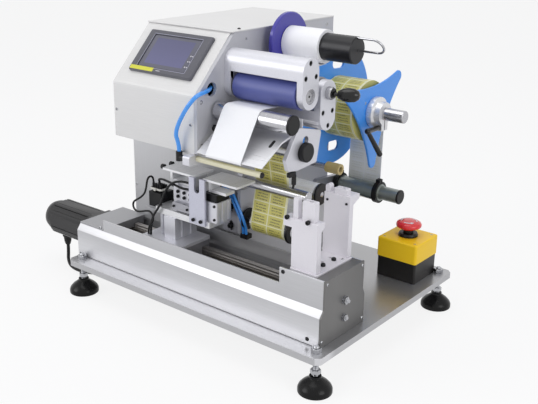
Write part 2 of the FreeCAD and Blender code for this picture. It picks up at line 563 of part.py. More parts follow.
def nip_rollers():
    """Two rollers, each held between the two arms of its own machined bracket."""
    arm, half = 12.0, 18.0
    x_arm, x_plate = SIDE_X + arm, REACH_X - 10.0
    y, z, r = DRIVE_ROLLER
    y2, z2, r2 = NIP_ROLLER
    top, bottom = 430.0, 325.5
    bar_low, bar_top = z + r + 1.6, z2 - r2 - 4.2
    corner = half - 0.05
    node("roller_brackets", prism([(y - half, bar_low), (y - half, top, corner), (y + half, top, corner),
                                   (y + half, bar_low)], "yz", x_arm, x_plate))
    node("roller_brackets", prism([(y2 - half, bottom, corner), (y2 - half, bar_top), (y2 + half, bar_top),
                                   (y2 + half, bottom, corner)], "yz", x_arm, x_plate))
    shaft = 7.0
    for x0, x1, outer in ((SIDE_X, x_arm, False), (x_plate, REACH_X, True)):
        up = capsule(y, z - half, top, half, x0, x1)
        down = capsule(y2, bottom, z2 + half, half, x0, x1)
        up = up.cut(rod_x(y, z, shaft + RUNNING, x0 - 1, x1 + 1))
        down = down.cut(rod_x(y2, z2, shaft + RUNNING, x0 - 1, x1 + 1))
        if outer:
            up = up.cut(rod_x(y, z, 10.5, x1 - 2, x1 + 1))
            for hy, hz in ((y - 1.5, 423.9), (y - 11.5, 404.5), (y + 11.5, 404.5)):
                up = up.cut(rod_x(hy, hz, 3.6, x1 - 6, x1 + 1))
            for hy, hz in ((y2 + 1.5, 332.1), (y2 - 11.0, 351.7), (y2 + 11.0, 351.7)):
                down = down.cut(rod_x(hy, hz, 3.6, x1 - 6, x1 + 1))
        node("roller_brackets", up, down)
    x_end = REACH_X - 2.2
    for name, (cy, cz, cr) in (("drive", DRIVE_ROLLER), ("nip", NIP_ROLLER)):
        core = turned_x([(SIDE_X - 30, 0), (SIDE_X - 30, shaft), (x_arm + 2.5, shaft), (x_arm + 2.5, cr - 4),
                         (x_plate - 1.0, cr - 4), (x_plate - 1.0, shaft), (x_end, shaft), (x_end, 0)], cy, cz)
        node(name + "_roller", core)
        sleeve = turned_x([(x_arm + 4, cr - 4), (x_arm + 4, cr - 0.8), (x_arm + 4.8, cr),
                           (x_plate - 3.3, cr), (x_plate - 2.5, cr - 0.8), (x_plate - 2.5, cr - 4)],
                          cy, cz)
        node(name + "_roller", sleeve)
        x_back = SIDE_X - SIDE_THICKNESS - 5
        bearing = turned_x([(x_back, shaft + RUNNING), (x_back, 12.0), (SIDE_X, 12.0),
                            (SIDE_X, shaft + RUNNING)], cy, cz)
        node("fixed_shafts", bearing)


def nip_lever():
    y, z = NIP_ROLLER[0], NIP_ROLLER[1]
    x0 = REACH_X
    # steel hub with a spigot in the end plate's bore, thin arm and a drop-shaped knob
    hub = turned_x([(x0 - 1.8, 0), (x0 - 1.8, 7.0), (x0 + 0.4, 7.0), (x0 + 0.4, 9.0), (x0 + 6, 9.0),
                    (x0 + 8, 7.8), (x0 + 8, 0)], y, z)
    reach = Vector(0.84, 0.54, -0.03).normalize()
    foot = Vector(x0 + 3.5, y + 2.0, z - 1.5)
    bare = 8.0
    arm = Part.makeCylinder(2.6, bare, foot, reach)
    node("nip_lever", hub.fuse(arm).removeSplitter())
    tip = foot + reach * bare
    profile = [(0, 0), (0, 4.2), (2.5, 6.0), (8, 8.8), (16, 9.8), (24, 9.0), (29, 6.2), (31, 2.4), (31, 0)]
    points = [Vector(u, v, 0) for u, v in profile]
    knob = Part.Face(Part.makePolygon(points + [points[0]])).revolve(Vector(0, 0, 0), Vector(1, 0, 0), 360)
    turn = FreeCAD.Rotation(Vector(1, 0, 0), reach)
    knob.Placement = FreeCAD.Placement(tip, turn)
    node("nip_lever", knob)


def idler(name, roller, x0, x1, cap_radius):
    """Hollow roller on a fixed shaft, closed by a black cap at its free end."""
    y, z, r = roller
    bore = SHAFT_RADIUS + RUNNING
    node(name, turned_x([(x0, bore), (x0, r), (x1, r), (x1, r - 2.5), (x1 - 8, r - 2.5),
                         (x1 - 8, bore)], y, z))
    node(name, turned_x([(x1 - 6, 0), (x1 - 6, r - 2.5), (x1, r - 2.5), (x1, cap_radius),
                         (x1 + 2.6, cap_radius), (x1 + 3.6, cap_radius - 1.2), (x1 + 3.6, 0)], y, z))


def slotted_idler(name, roller, x0, x1):
    """Hollow roller whose fixed shaft runs on through the slot of the side plate."""
    y, z, r = roller
    bore = SHAFT_RADIUS + RUNNING
    node(name, turned_x([(x0, bore), (x0, r - 0.6), (x0 + 0.6, r), (x1 - 0.6, r), (x1, r - 0.6),
                         (x1, bore)], y, z))


def fixed_shafts():
    r = SHAFT_RADIUS
    for roller, end in ((UPPER_IDLER, REACH_X - 14), (LOWER_IDLER, REACH_X - 7),
                        (FRONT_ROLLER, WEB_X1 - 8), (REAR_ROLLER, WEB_X1 - 8)):
        y, z = roller[0], roller[1]
        node("fixed_shafts", turned_x([(SIDE_X - SIDE_THICKNESS, 0), (SIDE_X - SIDE_THICKNESS, r),
                                       (SIDE_X, r), (SIDE_X, 9.0), (SIDE_X + 3, 9.0), (SIDE_X + 3, r),
                                       (end, r), (end, 0)], y, z))
    y, z, r = POLISHED_ROD
    journal, rod_end, holder = 5.0, 405.0, SIDE_X + 10.0
    node("fixed_shafts", turned_x([(SIDE_X, 0), (SIDE_X, journal), (holder, journal), (holder, r),
                                   (rod_end - 1, r), (rod_end, r - 1), (rod_end, 0)], y, z))
    block = prism([(y - 7.5, z - 13, 2), (y - 7.5, z + 13, 2), (y + 19, z + 13, 2), (y + 19, z - 13, 2)],
                  "yz", SIDE_X, holder)
    node("support_plates", block.cut(rod_x(y, z, journal, SIDE_X - 1, holder + 1)))
    y, z, r = GUIDE_ROLLER
    # arm that carries the guide roller behind the side plate's edge
    arm = prism([(300, 150, 6), (300, 186, 6), (GUIDE_ROLLER[0] + 9, 180, 8),
                 (GUIDE_ROLLER[0] + 9, 156, 8)], "yz", SIDE_X, SIDE_X + 8)
    arm = arm.cut(rod_x(y, z, 5.0, SIDE_X - 1, SIDE_X + 9))
    node("support_plates", arm)
    node("fixed_shafts", turned_x([(SIDE_X, 0), (SIDE_X, 5.0), (REACH_X - 16, 5.0), (REACH_X - 16, 0)], y, z))


def guide_roller():
    y, z, r = GUIDE_ROLLER
    x0, x1 = SIDE_X + 9, REACH_X - 6
    collar_x = WEB_X1 + 3.0
    tube = turned_x([(x0, 5.0 + RUNNING), (x0, r), (collar_x + 9, r), (collar_x + 9, r - 2.5), (x1, r - 2.5),
                     (x1, r - 5), (x1 - 8, r - 5), (x1 - 8, 5.0 + RUNNING)], y, z)
    node("guide_roller", tube)
    # split edge guides clamped on the tube, with an ear for the clamp screw
    collars = []
    for cx in (WEB_X0 - 11.0, collar_x):
        ring = rod_x(y, z, r + 4.2, cx, cx + 8)
        ear = box(cx, cx + 8, y - 4.5, y + 4.5, z + r - 1, z + r + 8.5)
        collar = ring.fuse(ear).cut(rod_x(y, z, r, cx - 1, cx + 9))
        collar = collar.cut(box(cx - 1, cx + 9, y - 0.9, y + 0.9, z + r - 2, z + r + 10))
        collars.append(collar.removeSplitter())
    node("guide_roller", *collars)
    node("guide_roller", turned_x([(x1 - 6, 0), (x1 - 6, r - 5), (x1, r - 5), (x1, r - 2.0),
                                   (x1 + 2.6, r - 2.0), (x1 + 3.4, r - 3), (x1 + 3.4, 0)], y, z))


def rewinder():
    y, z, r = REWINDER
    x_flange = SIDE_X + 12.6
    x_end = REACH_X + 1.0
    groove = 2.25
    legs = []
    core = turned_x([(SIDE_X - 26, 0), (SIDE_X - 26, 8), (SIDE_X + 3, 8), (SIDE_X + 3, 16), (x_flange, 16),
                     (x_flange, r), (x_end - 1.2, r), (x_end, r - 1.2), (x_end, 0)], y, z)
    # two long grooves take the legs of the pull-out wire pin
    for angle in PIN_TURNS:
        a = math.radians(angle)
        leg = Vector(0, y + PIN_CIRCLE * math.cos(a), z + PIN_CIRCLE * math.sin(a))
        legs.append(leg)
        core = core.cut(rod_x(leg.y, leg.z, groove, x_flange + 8, x_end + 1))
        mouth = box(x_flange + 8, x_end + 1, -groove, groove, 0, 6)
        mouth.rotate(Vector(0, 0, 0), Vector(1, 0, 0), angle - 90)
        mouth.translate(leg)
        core = core.cut(mouth)
    node("rewind_mandrel", core)
    flange = turned_x([(x_flange, r + 0.02), (x_flange, 41), (x_flange + 1.5, 44), (x_flange + 6.5, 44),
                       (x_flange + 8, 42.5), (x_flange + 8, r + 0.02)], y, z)
    node("rewind_mandrel", flange)
    bearing = turned_x([(SIDE_X - SIDE_THICKNESS - 12, 8 + RUNNING), (SIDE_X - SIDE_THICKNESS - 12, 14),
                        (SIDE_X, 14), (SIDE_X, 8 + RUNNING)], y, z)
    node("fixed_shafts", bearing)
    roll = turned_x([(WEB_X0 - 0.5, r + 0.1), (WEB_X0 - 0.5, LINER_ROLL_RADIUS),
                     (WEB_X1 + 0.5, LINER_ROLL_RADIUS), (WEB_X1 + 0.5, r + 0.1)], y, z)
    node("liner_roll", roll)
    # bent wire pin: two legs in the grooves, round loop outside for the finger
    x_in, x_out = WEB_X0 + 8, x_end + 23
    half = 0.5 * (legs[1] - legs[0]).Length
    a, b = legs[0] + Vector(x_in, 0, 0), legs[0] + Vector(x_out, 0, 0)
    c = (legs[0] + legs[1]) * 0.5 + Vector(x_out + half, 0, 0)
    d, e = legs[1] + Vector(x_out, 0, 0), legs[1] + Vector(x_in, 0, 0)
    path = Part.Wire([Part.LineSegment(a, b).toShape(), Part.Arc(b, c, d).toShape(),
                      Part.LineSegment(d, e).toShape()])
    section = Part.Wire([Part.makeCircle(1.7, a, Vector(1, 0, 0))])
    node("liner_pin", path.makePipeShell([section], True, False))


def star_outline(tips, valley, tip_round, turn):
    """Three-armed outline about the origin: round tips and hollow flanks that meet them smoothly."""
    reach = tips - tip_round
    along, across = reach * math.cos(math.radians(60)), reach * math.sin(math.radians(60))
    inner = valley - tip_round
    # the flank is an arc whose centre lies half-way between two arms
    far = (reach ** 2 - inner ** 2) / (2 * (along - inner))
    span = math.hypot(far - along, across)
    touch_along = along + tip_round * (far - along) / span
    touch_across = across - tip_round * across / span

    def polar(radius, angle):
        return Vector(0, radius * math.cos(angle), radius * math.sin(angle))

    radius, swing = math.hypot(touch_along, touch_across), math.atan2(touch_across, touch_along)
    edges = []
    for k in range(3):
        arm = math.radians(turn + 120 * k)
        hollow = arm + math.radians(60)
        before = arm - math.radians(60)
        edges.append(Part.Arc(polar(radius, before + swing), polar(tips, arm),
                              polar(radius, hollow - swing)).toShape())
        edges.append(Part.Arc(polar(radius, hollow - swing), polar(valley, hollow),
                              polar(radius, hollow + swing)).toShape())
    return edges


def reel():
    y, z, roll = REEL
    shaft = 10.0
    x_disc = WEB_X0 - 4.0
    x_star = WEB_X1 + 5.0
    x_end = REACH_X + 14.0
    spindle = turned_x([(SIDE_X - 30, 0), (SIDE_X - 30, shaft), (SIDE_X + 4, shaft), (SIDE_X + 4, 20),
                        (x_disc - 0.5, 20), (x_disc - 0.5, shaft), (x_end - 1, shaft), (x_end, shaft - 1),
                        (x_end, 0)], y, z)
    node("reel_shaft", spindle)
    node("fixed_shafts", turned_x([(SIDE_X - SIDE_THICKNESS - 14, shaft + RUNNING),
                                   (SIDE_X - SIDE_THICKNESS - 14, 13), (SIDE_X + 3, 13),
                                   (SIDE_X + 3, shaft + RUNNING)], y, z))
    # inner disc with four oval windows
    disc = rod_x(y, z, REEL_RADIUS, x_disc - 0.5, x_disc + 3.0)
    disc = disc.cut(rod_x(y, z, shaft + 0.02, x_disc - 1, x_disc + 4))
    for k in range(4):
        window = prism([(60, -16, 7.9), (76, -16, 7.9), (76, 16, 7.9), (60, 16, 7.9)], "yz",
                       x_disc - 1, x_disc + 4)
        window.rotate(Vector(0, 0, 0), Vector(1, 0, 0), REEL_WINDOW_TURN + 90 * k)
        window.translate(Vector(0, y, z))
        disc = disc.cut(window)
    node("reel_shaft", disc)
    node("label_roll", turned_x([(WEB_X0 - 0.5, shaft + 0.1), (WEB_X0 - 0.5, 19), (WEB_X1 + 2, 19),
                                (WEB_X1 + 2, shaft + 0.1)], y, z))
    node("label_roll", turned_x([(WEB_X0, 19.0), (WEB_X0, roll), (WEB_X1, roll), (WEB_X1, 19.0)], y, z))
    # outer star: three rounded arms
    edges = star_outline(STAR_RADIUS, 41.0, 9.0, STAR_TURN)
    star = Part.Face(Part.Wire(edges)).extrude(Vector(4.0, 0, 0))
    star.translate(Vector(x_star, y, z))
    tips = [e for e in star.Edges if e.BoundBox.XLength < 1e-6]
    star = star.makeChamfer(0.8, tips)
    star = star.cut(rod_x(y, z, shaft + RUNNING, x_star - 1, x_star + 5))
    node("reel_star", star)
    # split clamp hub on the star, squeezed by the lever
    x_hub = x_star + 4.0
    hub = turned_x([(x_hub, shaft + RUNNING), (x_hub, 24), (x_hub + 2, 25), (x_hub + 10, 25),
                    (x_hub + 11, 19), (x_hub + 21, 18), (x_hub + 21, shaft + RUNNING)], y, z)
    slit = box(x_hub + 11.5, x_hub + 22, y - 1.2, y + 1.2, z - 26, z - 5)
    hub = hub.cut(slit)
    lug = box(x_hub + 11.5, x_hub + 21, y - 9, y - 1.2, z - 27, z - 14)
    lug2 = box(x_hub + 11.5, x_hub + 21, y + 1.2, y + 9, z - 27, z - 14)
    hub = hub.fuse(lug).fuse(lug2)
    hub = hub.cut(rod_x(y, z, shaft + RUNNING, x_hub - 1, x_hub + 22))
    lever_x, lever_z = x_hub + 16.6, z - 21.0
    hub = hub.cut(rod_y(lever_x, lever_z, 2.5 + RUNNING, y - 20, y + 20)).removeSplitter()
    node("reel_star", hub)
    # clamp lever: pin through the lugs, thicker arm to the front, knuckle and slim handle
    knuckle = y - 42.0
    lever = rod_y(lever_x, lever_z, 2.5, y - 11, y + 8.5)
    lever = lever.fuse(rod_y(lever_x, lever_z, 4.0, knuckle, y - 10.5))
    lever = lever.fuse(Part.makeSphere(4.8, Vector(lever_x, knuckle, lever_z)))
    along = Vector(0.143, 0.553, -0.82).normalize()
    foot = Vector(lever_x, knuckle, lever_z)
    length = 50.0
    lever = lever.fuse(Part.makeCone(3.4, 4.4, length, foot, along))
    lever = lever.fuse(Part.makeSphere(4.4, foot + along * length))
    node("reel_lever", lever.removeSplitter())


def small_roller():
    # short roller on a stub behind the web rollers
    y, z = 250.0, 232.0
    node("fixed_shafts", turned_x([(SIDE_X, 0), (SIDE_X, 8), (SIDE_X + 4, 8), (SIDE_X + 4, 4.5),
                                   (WEB_X1, 4.5), (WEB_X1, 0)], y, z))
    bore = 4.5 + RUNNING
    node("small_roller", turned_x([(342, bore), (342, 8.6), (WEB_X1 + 3, 8.6), (WEB_X1 + 3, bore)], y, z))


def peel_table():
    y0, z0 = NOSE[:2]
    x0, x1 = SIDE_X + 4.0, REACH_X - 17.5
    # bent plate: steep rear flange, sloping table and thin nose
    outline = [(y0, z0 + 0.9, 0.8), (58, 318.6), (104, 330.0), (104, 345, 1), (101.6, 345), (101.6, 332.2),
               (57, 321.2), (y0 - 1.0, z0 + 2.4)]
    node("peel_table", prism(outline, "yz", x0, x1))
    # outer side plate with the slot that sets the lower idler
    side = prism([(59.3, 296.5, 2), (81.3, 330.4, 3), (87.6, 336.3, 5), (139.3, 324.2, 5),
                  (129.6, 279.6, 3), (85.2, 276.7, 3), (65.4, 279.8, 3)], "yz", x1, x1 + 6.5)
    slot_y, slot_z = LOWER_IDLER[0], LOWER_IDLER[1]
    slot = prism([(slot_y - 6.2, slot_z - 6, 6), (slot_y - 6.2, slot_z + 21.7, 6),
                  (slot_y + 6.2, slot_z + 21.7, 6), (slot_y + 6.2, slot_z - 6, 6)], "yz", x1 - 1, x1 + 8)
    slot.rotate(Vector(x1, slot_y, slot_z), Vector(1, 0, 0), -17)
    node("peel_side_plate", side.cut(slot))
    # cross bar ties the outer plate to the cabinet
    node("peel_side_plate", prism([(117, 283, 2), (117, 297, 2), (129, 297, 2), (129, 283, 2)],
                                  "yz", SIDE_X, x1))
    knob = x1 + 6.5
    node("fixed_shafts", turned_x([(knob, SHAFT_RADIUS), (knob, 12.6), (knob + 1, 13.6), (knob + 8, 13.6),
                                   (knob + 9, 12.4), (knob + 9, 0), (REACH_X - 7, 0),
                                   (REACH_X - 7, SHAFT_RADIUS)], slot_y, slot_z))


def air_bar():
    # hollow cream bar that blows the label down, with its holder and elbow
    y, z = 26.0, 281.5
    top = HEAD_LOW
    holder = prism([(ELBOW[1] - 6, z - 8, 2), (ELBOW[1] - 6, top, 3), (y + 9, top), (y + 9, z - 8, 2)],
                   "yz", 262, 275)
    node("air_bar", holder)
    node("air_bar", turned_x([(275, 2.2), (275, 4.15), (391, 4.15), (391, 2.2)], y, z))
    node("air_bar", turned_x([(386, 0), (386, 2.2), (391, 2.2), (391, 3.6), (393, 3.6), (393, 0)], y, z))
    # black push-in elbow in front of the head's lower edge
    ex, ey, elbow_top = ELBOW
    elbow = rod_z(ex, ey, 4.8, z - 5, elbow_top).fuse(rod_x(ey, z, 4.3, ex, 262))
    node("tube_fittings", elbow.removeSplitter())


def station():
    # slider on the rails with the ball nut inside
    half = 30.0
    slider = prism([(SCREW_Y - half - 5, 104.6, 2), (SCREW_Y - half - 5, 121, 2),
                    (SCREW_Y + half + 5, 121, 2), (SCREW_Y + half + 5, 104.6, 2),
                    (SCREW_Y + half + 0.5, 104.6),
                    (SCREW_Y + half + 0.5, 108.5), (SCREW_Y + half - 11, 108.5),
                    (SCREW_Y + half - 12, 99.0, 2), (SCREW_Y + half - 12, 92, 4), (SCREW_Y + 13, 76.5, 2),
                    (SCREW_Y - 13, 76.5, 2), (SCREW_Y - half + 12, 92, 4), (SCREW_Y - half + 12, 99.0, 2),
                    (SCREW_Y - half + 11, 108.5), (SCREW_Y - half - 0.5, 108.5),
                    (SCREW_Y - half - 0.5, 104.6)], "yz", 140, 214)
    slider = slider.cut(rod_x(SCREW_Y, SCREW_Z, 8.0 + RUNNING, 139, 215))
    node("station_slider", slider)
    node("station_stand", prism([(134, 42, 4), (220, 42, 4), (220, 112, 4), (134, 112, 4)], "xy", 121, 126))
    # square stand block with side grooves, and two posts under the deck
    deck_low, deck_top = 161.5, 171.5
    block = box(169, 193, 60, 108, 126, deck_low)
    for x in (169, 193):
        for y in (74, 94):
            block = block.cut(rod_z(x, y, 2.2, 125, deck_low + 1))
    node("station_stand", block)
    node("station_stand", rod_z(156, 70, 4.0, 126, deck_low), rod_z(156, 97, 4.0, 126, deck_low))
    deck = prism([(147, 63, 2), (262, 63, 2), (262, STATION_BACK, 2), (147, STATION_BACK, 2)],
                 "xy", deck_low, deck_top)
    node("deck_plate", deck.cut(rod_z(207, 74, 5.0, 160, deck_top + 1)))

    # slotted front plate: the cable drops into its open slot
    node("slot_plate", prism([(GAP_X - 16, 164, 1), (GAP_X - 16, 237, 1), (GAP_X - 5.2, 237),
                              (GAP_X - 5.2, 214, 5.1), (GAP_X + 5.2, 214, 5.1), (GAP_X + 5.2, 237),
                              (GAP_X + 16, 237, 1), (GAP_X + 16, 164, 1)], "xz",
                             STATION_FRONT, STATION_FRONT + 4))

    # left side: block with a bolted face and a compact cylinder lying before it
    block = prism([(176, deck_top), (176, 214, 2), (222, 214, 2), (222, deck_top)], "xz", 76, 100)
    block = block.cut(box(186, 212, 75, 80, 205, 215))
    for x in (186, 199, 212):
        for z in (193, 201):
            block = block.cut(rod_y(x, z, 1.8, 75, 80))
    node("clamp_cylinders", block)
    node("clamp_cylinders", box(188, 210, 85, 97, 214.0, 214.7))
    node("clamp_cylinders", prism([(182, 173.5, 3), (182, 186, 3), (218, 186, 3), (218, 173.5, 3)],
                                  "xz", 66, 76))
    # right side: upright compact cylinder with rounded corners and a black head
    body = prism([(243, 66, 3), (274, 66, 3), (274, 100, 3), (243, 100, 3)], "xy", deck_top, 203)
    for y in (78, 90):
        for x in (242, 273):
            body = body.cut(box(x, x + 2, y - 2, y + 2, deck_top, 204))
    node("clamp_cylinders", body)
    node("clamp_cylinders", prism([(245, 68, 2), (272, 68, 2), (272, 98, 2), (245, 98, 2)], "xy", 203, 214.7))
    # connector block with its plugs, left of the deck
    block = box(120, 147, 76, 104, 163, 187)
    for k in range(4):
        x = 124 + 5.2 * k
        block = block.fuse(rod_z(x, 83, 2.2, 187, 200)).fuse(rod_z(x, 95, 2.2, 187, 197))
    node("connector_block", block.removeSplitter())


def fold_plates():
    t = 3.5
    top = FOLD_TOP
    left0, left1 = 165.0, GAP_X - 0.5 * GAP_WIDTH
    right0, right1 = GAP_X + 0.5 * GAP_WIDTH, 315.0
    front = STATION_FRONT + 4.6
    # each top plate is an angle: a flat top and a carriage that hangs on the slide
    left = prism([(left0, front, 1), (left1, front, 1), (left1, STATION_BACK, 1), (left0, STATION_BACK, 1)],
                 "xy", top - t, top)
    left = left.fuse(prism([(left0 + 6, 215.0), (left0 + 6, top - t), (left0 + 11, top - t),
                            (left0 + 11, 219.5), (left1 - 8, 219.5), (left1 - 8, 215.0)], "xz", 74, 100))
    left = left.fuse(box(left1 - 13, left1 - 8, 74, 100, 219.5, top - t))
    node("fold_plate_left", left.removeSplitter())
    right = prism([(right0, front, 1), (right1, front, 1), (right1, STATION_BACK, 1),
                   (right0, STATION_BACK, 1)], "xy", top - t, top)
    right = right.fuse(box(right0 + 2, 285, 74, 94, 215.0, 219.5))
    right = right.fuse(box(right0 + 2, right0 + 7, 74, 94, 219.5, top - t))
    node("fold_plate_right", right.removeSplitter())
    # adjusting screws at the left plate's outer edge
    for y in (72.0, 90.0):
        node("fold_plate_left", turned_x([(left0 - 9, 0), (left0 - 9, 4.0), (left0 - 3.5, 4.0),
                                          (left0 - 3.5, 1.6), (left0, 1.6), (left0, 0)], y, top - 1.75))


def emergency_stop():
    x0, y0, side = 419.5, 284.5, 70.0
    x1, y1 = x0 + side, y0 + side
    xc, yc = x0 + side / 2, y0 + side / 2
    z0, split, top = PLATE_TOP, 93.2, 124.8
    low = prism([(x0 + 1, y0 + 1, 4), (x1 - 1, y0 + 1, 4), (x1 - 1, y1 - 1, 4), (x0 + 1, y1 - 1, 4)],
                "xy", z0, split)
    low = low.cut(prism([(x0 + 4, y0 + 4, 3), (x1 - 4, y0 + 4, 3), (x1 - 4, y1 - 4, 3), (x0 + 4, y1 - 4, 3)],
                        "xy", z0 + 3, split + 1))
    node("stop_box_base", low)
    cover = prism([(x0, y0, 4), (x1, y0, 4), (x1, y1, 4), (x0, y1, 4)], "xy", split, top)
    rim = [e for e in cover.Edges if abs(e.BoundBox.ZMin - top) < 1e-6]
    cover = cover.makeFillet(2.5, rim)
    cover = cover.cut(prism([(x0 + 3, y0 + 3, 3), (x1 - 3, y0 + 3, 3), (x1 - 3, y1 - 3, 3),
                             (x0 + 3, y1 - 3, 3)], "xy", split - 1, top - 3))
    cover = cover.cut(rod_z(xc, yc, 11.2, top - 4, top + 1))
    node("stop_box_cover", cover)
    collar = turned_z([(8.0 + RUNNING, top - 12), (11.0, top - 12), (11.0, top + 0.05), (15.5, top + 0.05),
                       (15.5, top + 2.5), (14.2, top + 5.5), (8.0 + RUNNING, top + 5.5)], xc, yc)
    node("stop_box_cover", collar)
    rise = 6.5
    base = top + 5.5 + rise
    stem = turned_z([(0, top - 16), (8.0, top - 16), (8.0, base), (0, base)], xc, yc)
    node("stop_stem", stem)
    # mushroom head with a hollow underside and a domed top
    head = turned_z([(0, base), (12.5, base), (13.5, base + 2), (18.5, base + 3), (20.0, base + 4.5),
                     (20.1, base + 7.5), (18.6, base + 10.2), (14.5, base + 12.2), (9.5, base + 13.1),
                     (0, base + 13.4)], xc, yc)
    node("stop_button", head)


def webs():
    y, z, r = REEL
    label_path = [(y, z, r + WEB_GAP + 0.5 * WEB_THICKNESS, -1), touching(GUIDE_ROLLER, -1),
                  touching(REAR_ROLLER, 1), touching(FRONT_ROLLER, -1), touching(POLISHED_ROD, 1),
                  touching(LOWER_IDLER, 1), (NOSE[0] + 3.5, NOSE[1] + 0.1, 0.3, -1)]
    node("label_web", web(label_path, WEB_X0, WEB_X1))
    ry, rz, _ = REWINDER
    liner_path = [(NOSE[0] + 2.6, NOSE[1] - 0.2, 0.3, -1), (NOSE[0] + 0.2, NOSE[1] + 1.5, 2.3, -1),
                  touching(UPPER_IDLER, -1), touching(DRIVE_ROLLER, 1), touching(NIP_ROLLER, -1),
                  (ry, rz, LINER_ROLL_RADIUS + WEB_GAP + 0.5 * WEB_THICKNESS, 1)]
    node("liner_web", web(liner_path, WEB_X0, WEB_X1))


def tubes_and_cables():
    node("air_tube", cable(AIR_TUBE, AIR_TUBE_RADIUS, "air_tube"))
    node("motor_cable", cable(MOTOR_CABLE, 3.0, "motor_cable"))
    node("sensor_cable", cable(SENSOR_CABLE, 1.6, "sensor_cable"))
    for k, route in enumerate(VACUUM_TUBES):
        node("vacuum_tube_%d" % (k + 1), cable(route, 2.2, "vacuum_tube_%d" % (k + 1)))


def build():
    base_and_feet()
    channel()
    linear_drive()
    motor()
    towers()
    cabinet()
    operator_panel()
    nip_rollers()
    nip_lever()
    idler("upper_idler", UPPER_IDLER, SIDE_X + 4, REACH_X - 4, UPPER_IDLER[2] + 0.6)
    slotted_idler("lower_idler", LOWER_IDLER, SIDE_X + 4, REACH_X - 18.5)
    idler("front_roller", FRONT_ROLLER, WEB_X0 - 3, WEB_X1 + 3, 18.5)
    idler("rear_roller", REAR_ROLLER, SIDE_X + 4, WEB_X1 + 3, 17.0)
    fixed_shafts()
    guide_roller()
    rewinder()
    reel()
    small_roller()
    peel_table()
    air_bar()
    station()
    fold_plates()
    emergency_stop()
    webs()
    tubes_and_cables()


def export():
    """Move the origin to the middle of the footprint and write one file per node."""
    whole = FreeCAD.BoundBox()
    shapes = {}
    for name, solids in NODES.items():
        shapes[name] = solids[0] if len(solids) == 1 else Part.makeCompound(solids)
        if name not in CORDS:
            whole.add(shapes[name].BoundBox)
    shift = Vector(-0.5 * (whole.XMin + whole.XMax), -0.5 * (whole.YMin + whole.YMax), -whole.ZMin)
    print("shift", shift, "size", whole.XLength, whole.YLength, whole.ZLength, "nodes", len(NODES))
    os.makedirs("parts", exist_ok=True)
    for name, shape in shapes.items():
        shape.translate(shift)
        shape.exportStep("parts/" + name + ".step")


build()
export()
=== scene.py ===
import json
import math
import bpy
import bmesh
from mathutils import Matrix, Vector

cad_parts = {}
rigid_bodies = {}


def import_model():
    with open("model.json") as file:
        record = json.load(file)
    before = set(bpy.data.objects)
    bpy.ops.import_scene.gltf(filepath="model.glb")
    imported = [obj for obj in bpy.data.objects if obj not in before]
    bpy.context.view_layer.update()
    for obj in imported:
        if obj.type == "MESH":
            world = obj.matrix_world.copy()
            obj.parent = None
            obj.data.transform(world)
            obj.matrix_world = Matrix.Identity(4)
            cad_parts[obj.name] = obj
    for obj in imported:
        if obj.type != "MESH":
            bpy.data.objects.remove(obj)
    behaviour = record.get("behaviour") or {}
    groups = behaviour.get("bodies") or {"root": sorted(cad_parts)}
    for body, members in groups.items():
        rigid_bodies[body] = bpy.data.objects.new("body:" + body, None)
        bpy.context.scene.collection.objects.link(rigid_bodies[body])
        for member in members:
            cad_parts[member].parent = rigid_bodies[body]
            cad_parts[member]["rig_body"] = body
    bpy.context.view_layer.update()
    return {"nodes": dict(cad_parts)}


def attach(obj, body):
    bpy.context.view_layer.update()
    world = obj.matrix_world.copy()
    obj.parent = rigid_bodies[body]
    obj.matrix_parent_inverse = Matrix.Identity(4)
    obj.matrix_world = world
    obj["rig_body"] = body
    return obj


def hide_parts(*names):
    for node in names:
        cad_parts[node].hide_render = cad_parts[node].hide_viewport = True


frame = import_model()

# Places are written in the machine's own millimetres, as in part.py, and moved by SHIFT
MM = 0.001
SHIFT = Vector((191.0, 210.0, 0.0))

# Photograph's camera
CAMERA_PLACE = (1053.822, -794.576, 618.289)
CAMERA_YAW, CAMERA_PITCH, CAMERA_ROLL = 39.36, 19.15, 0.57
FOCAL_PIXELS, IMAGE_WIDTH = 839.363, 538.0
CENTRE_OFFSET = (13.464, -5.462)
SENSOR = 36.0

# Places shared by several pieces
SIDE_X = 279.4
REACH_X = 416.4
WEB_X0, WEB_X1 = 301.4, 364.4
DRIVE_ROLLER = (95.5, 379.0, 20.0)
NIP_ROLLER = (136.9, 378.0, 20.0)
UPPER_IDLER = (61.4, 346.2, 13.0)
LOWER_IDLER = (98.0, 301.0, 12.0)
POLISHED_ROD = (115.0, 230.0, 8.0)
FRONT_ROLLER = (127.0, 166.0, 15.0)
REAR_ROLLER = (196.0, 206.0, 15.0)
GUIDE_ROLLER = (361.0, 168.0, 14.0)
REWINDER = (203.0, 427.5, 24.3)
REEL = (328.0, 311.0, 49.0)
NOSE = (16.0, 292.5)
WEB_THICKNESS = 0.5
WEB_GAP = 0.35
STUD_PLACES = [(16.0, 18.0), (494.0, 18.0), (494.0, 356.0), (16.0, 356.0)]
PANEL_PLACE = Vector((192.0, 62.5, 413.1))
PANEL_LEAN = math.atan2(451.6 - 370.9, 100.0 - 21.4)

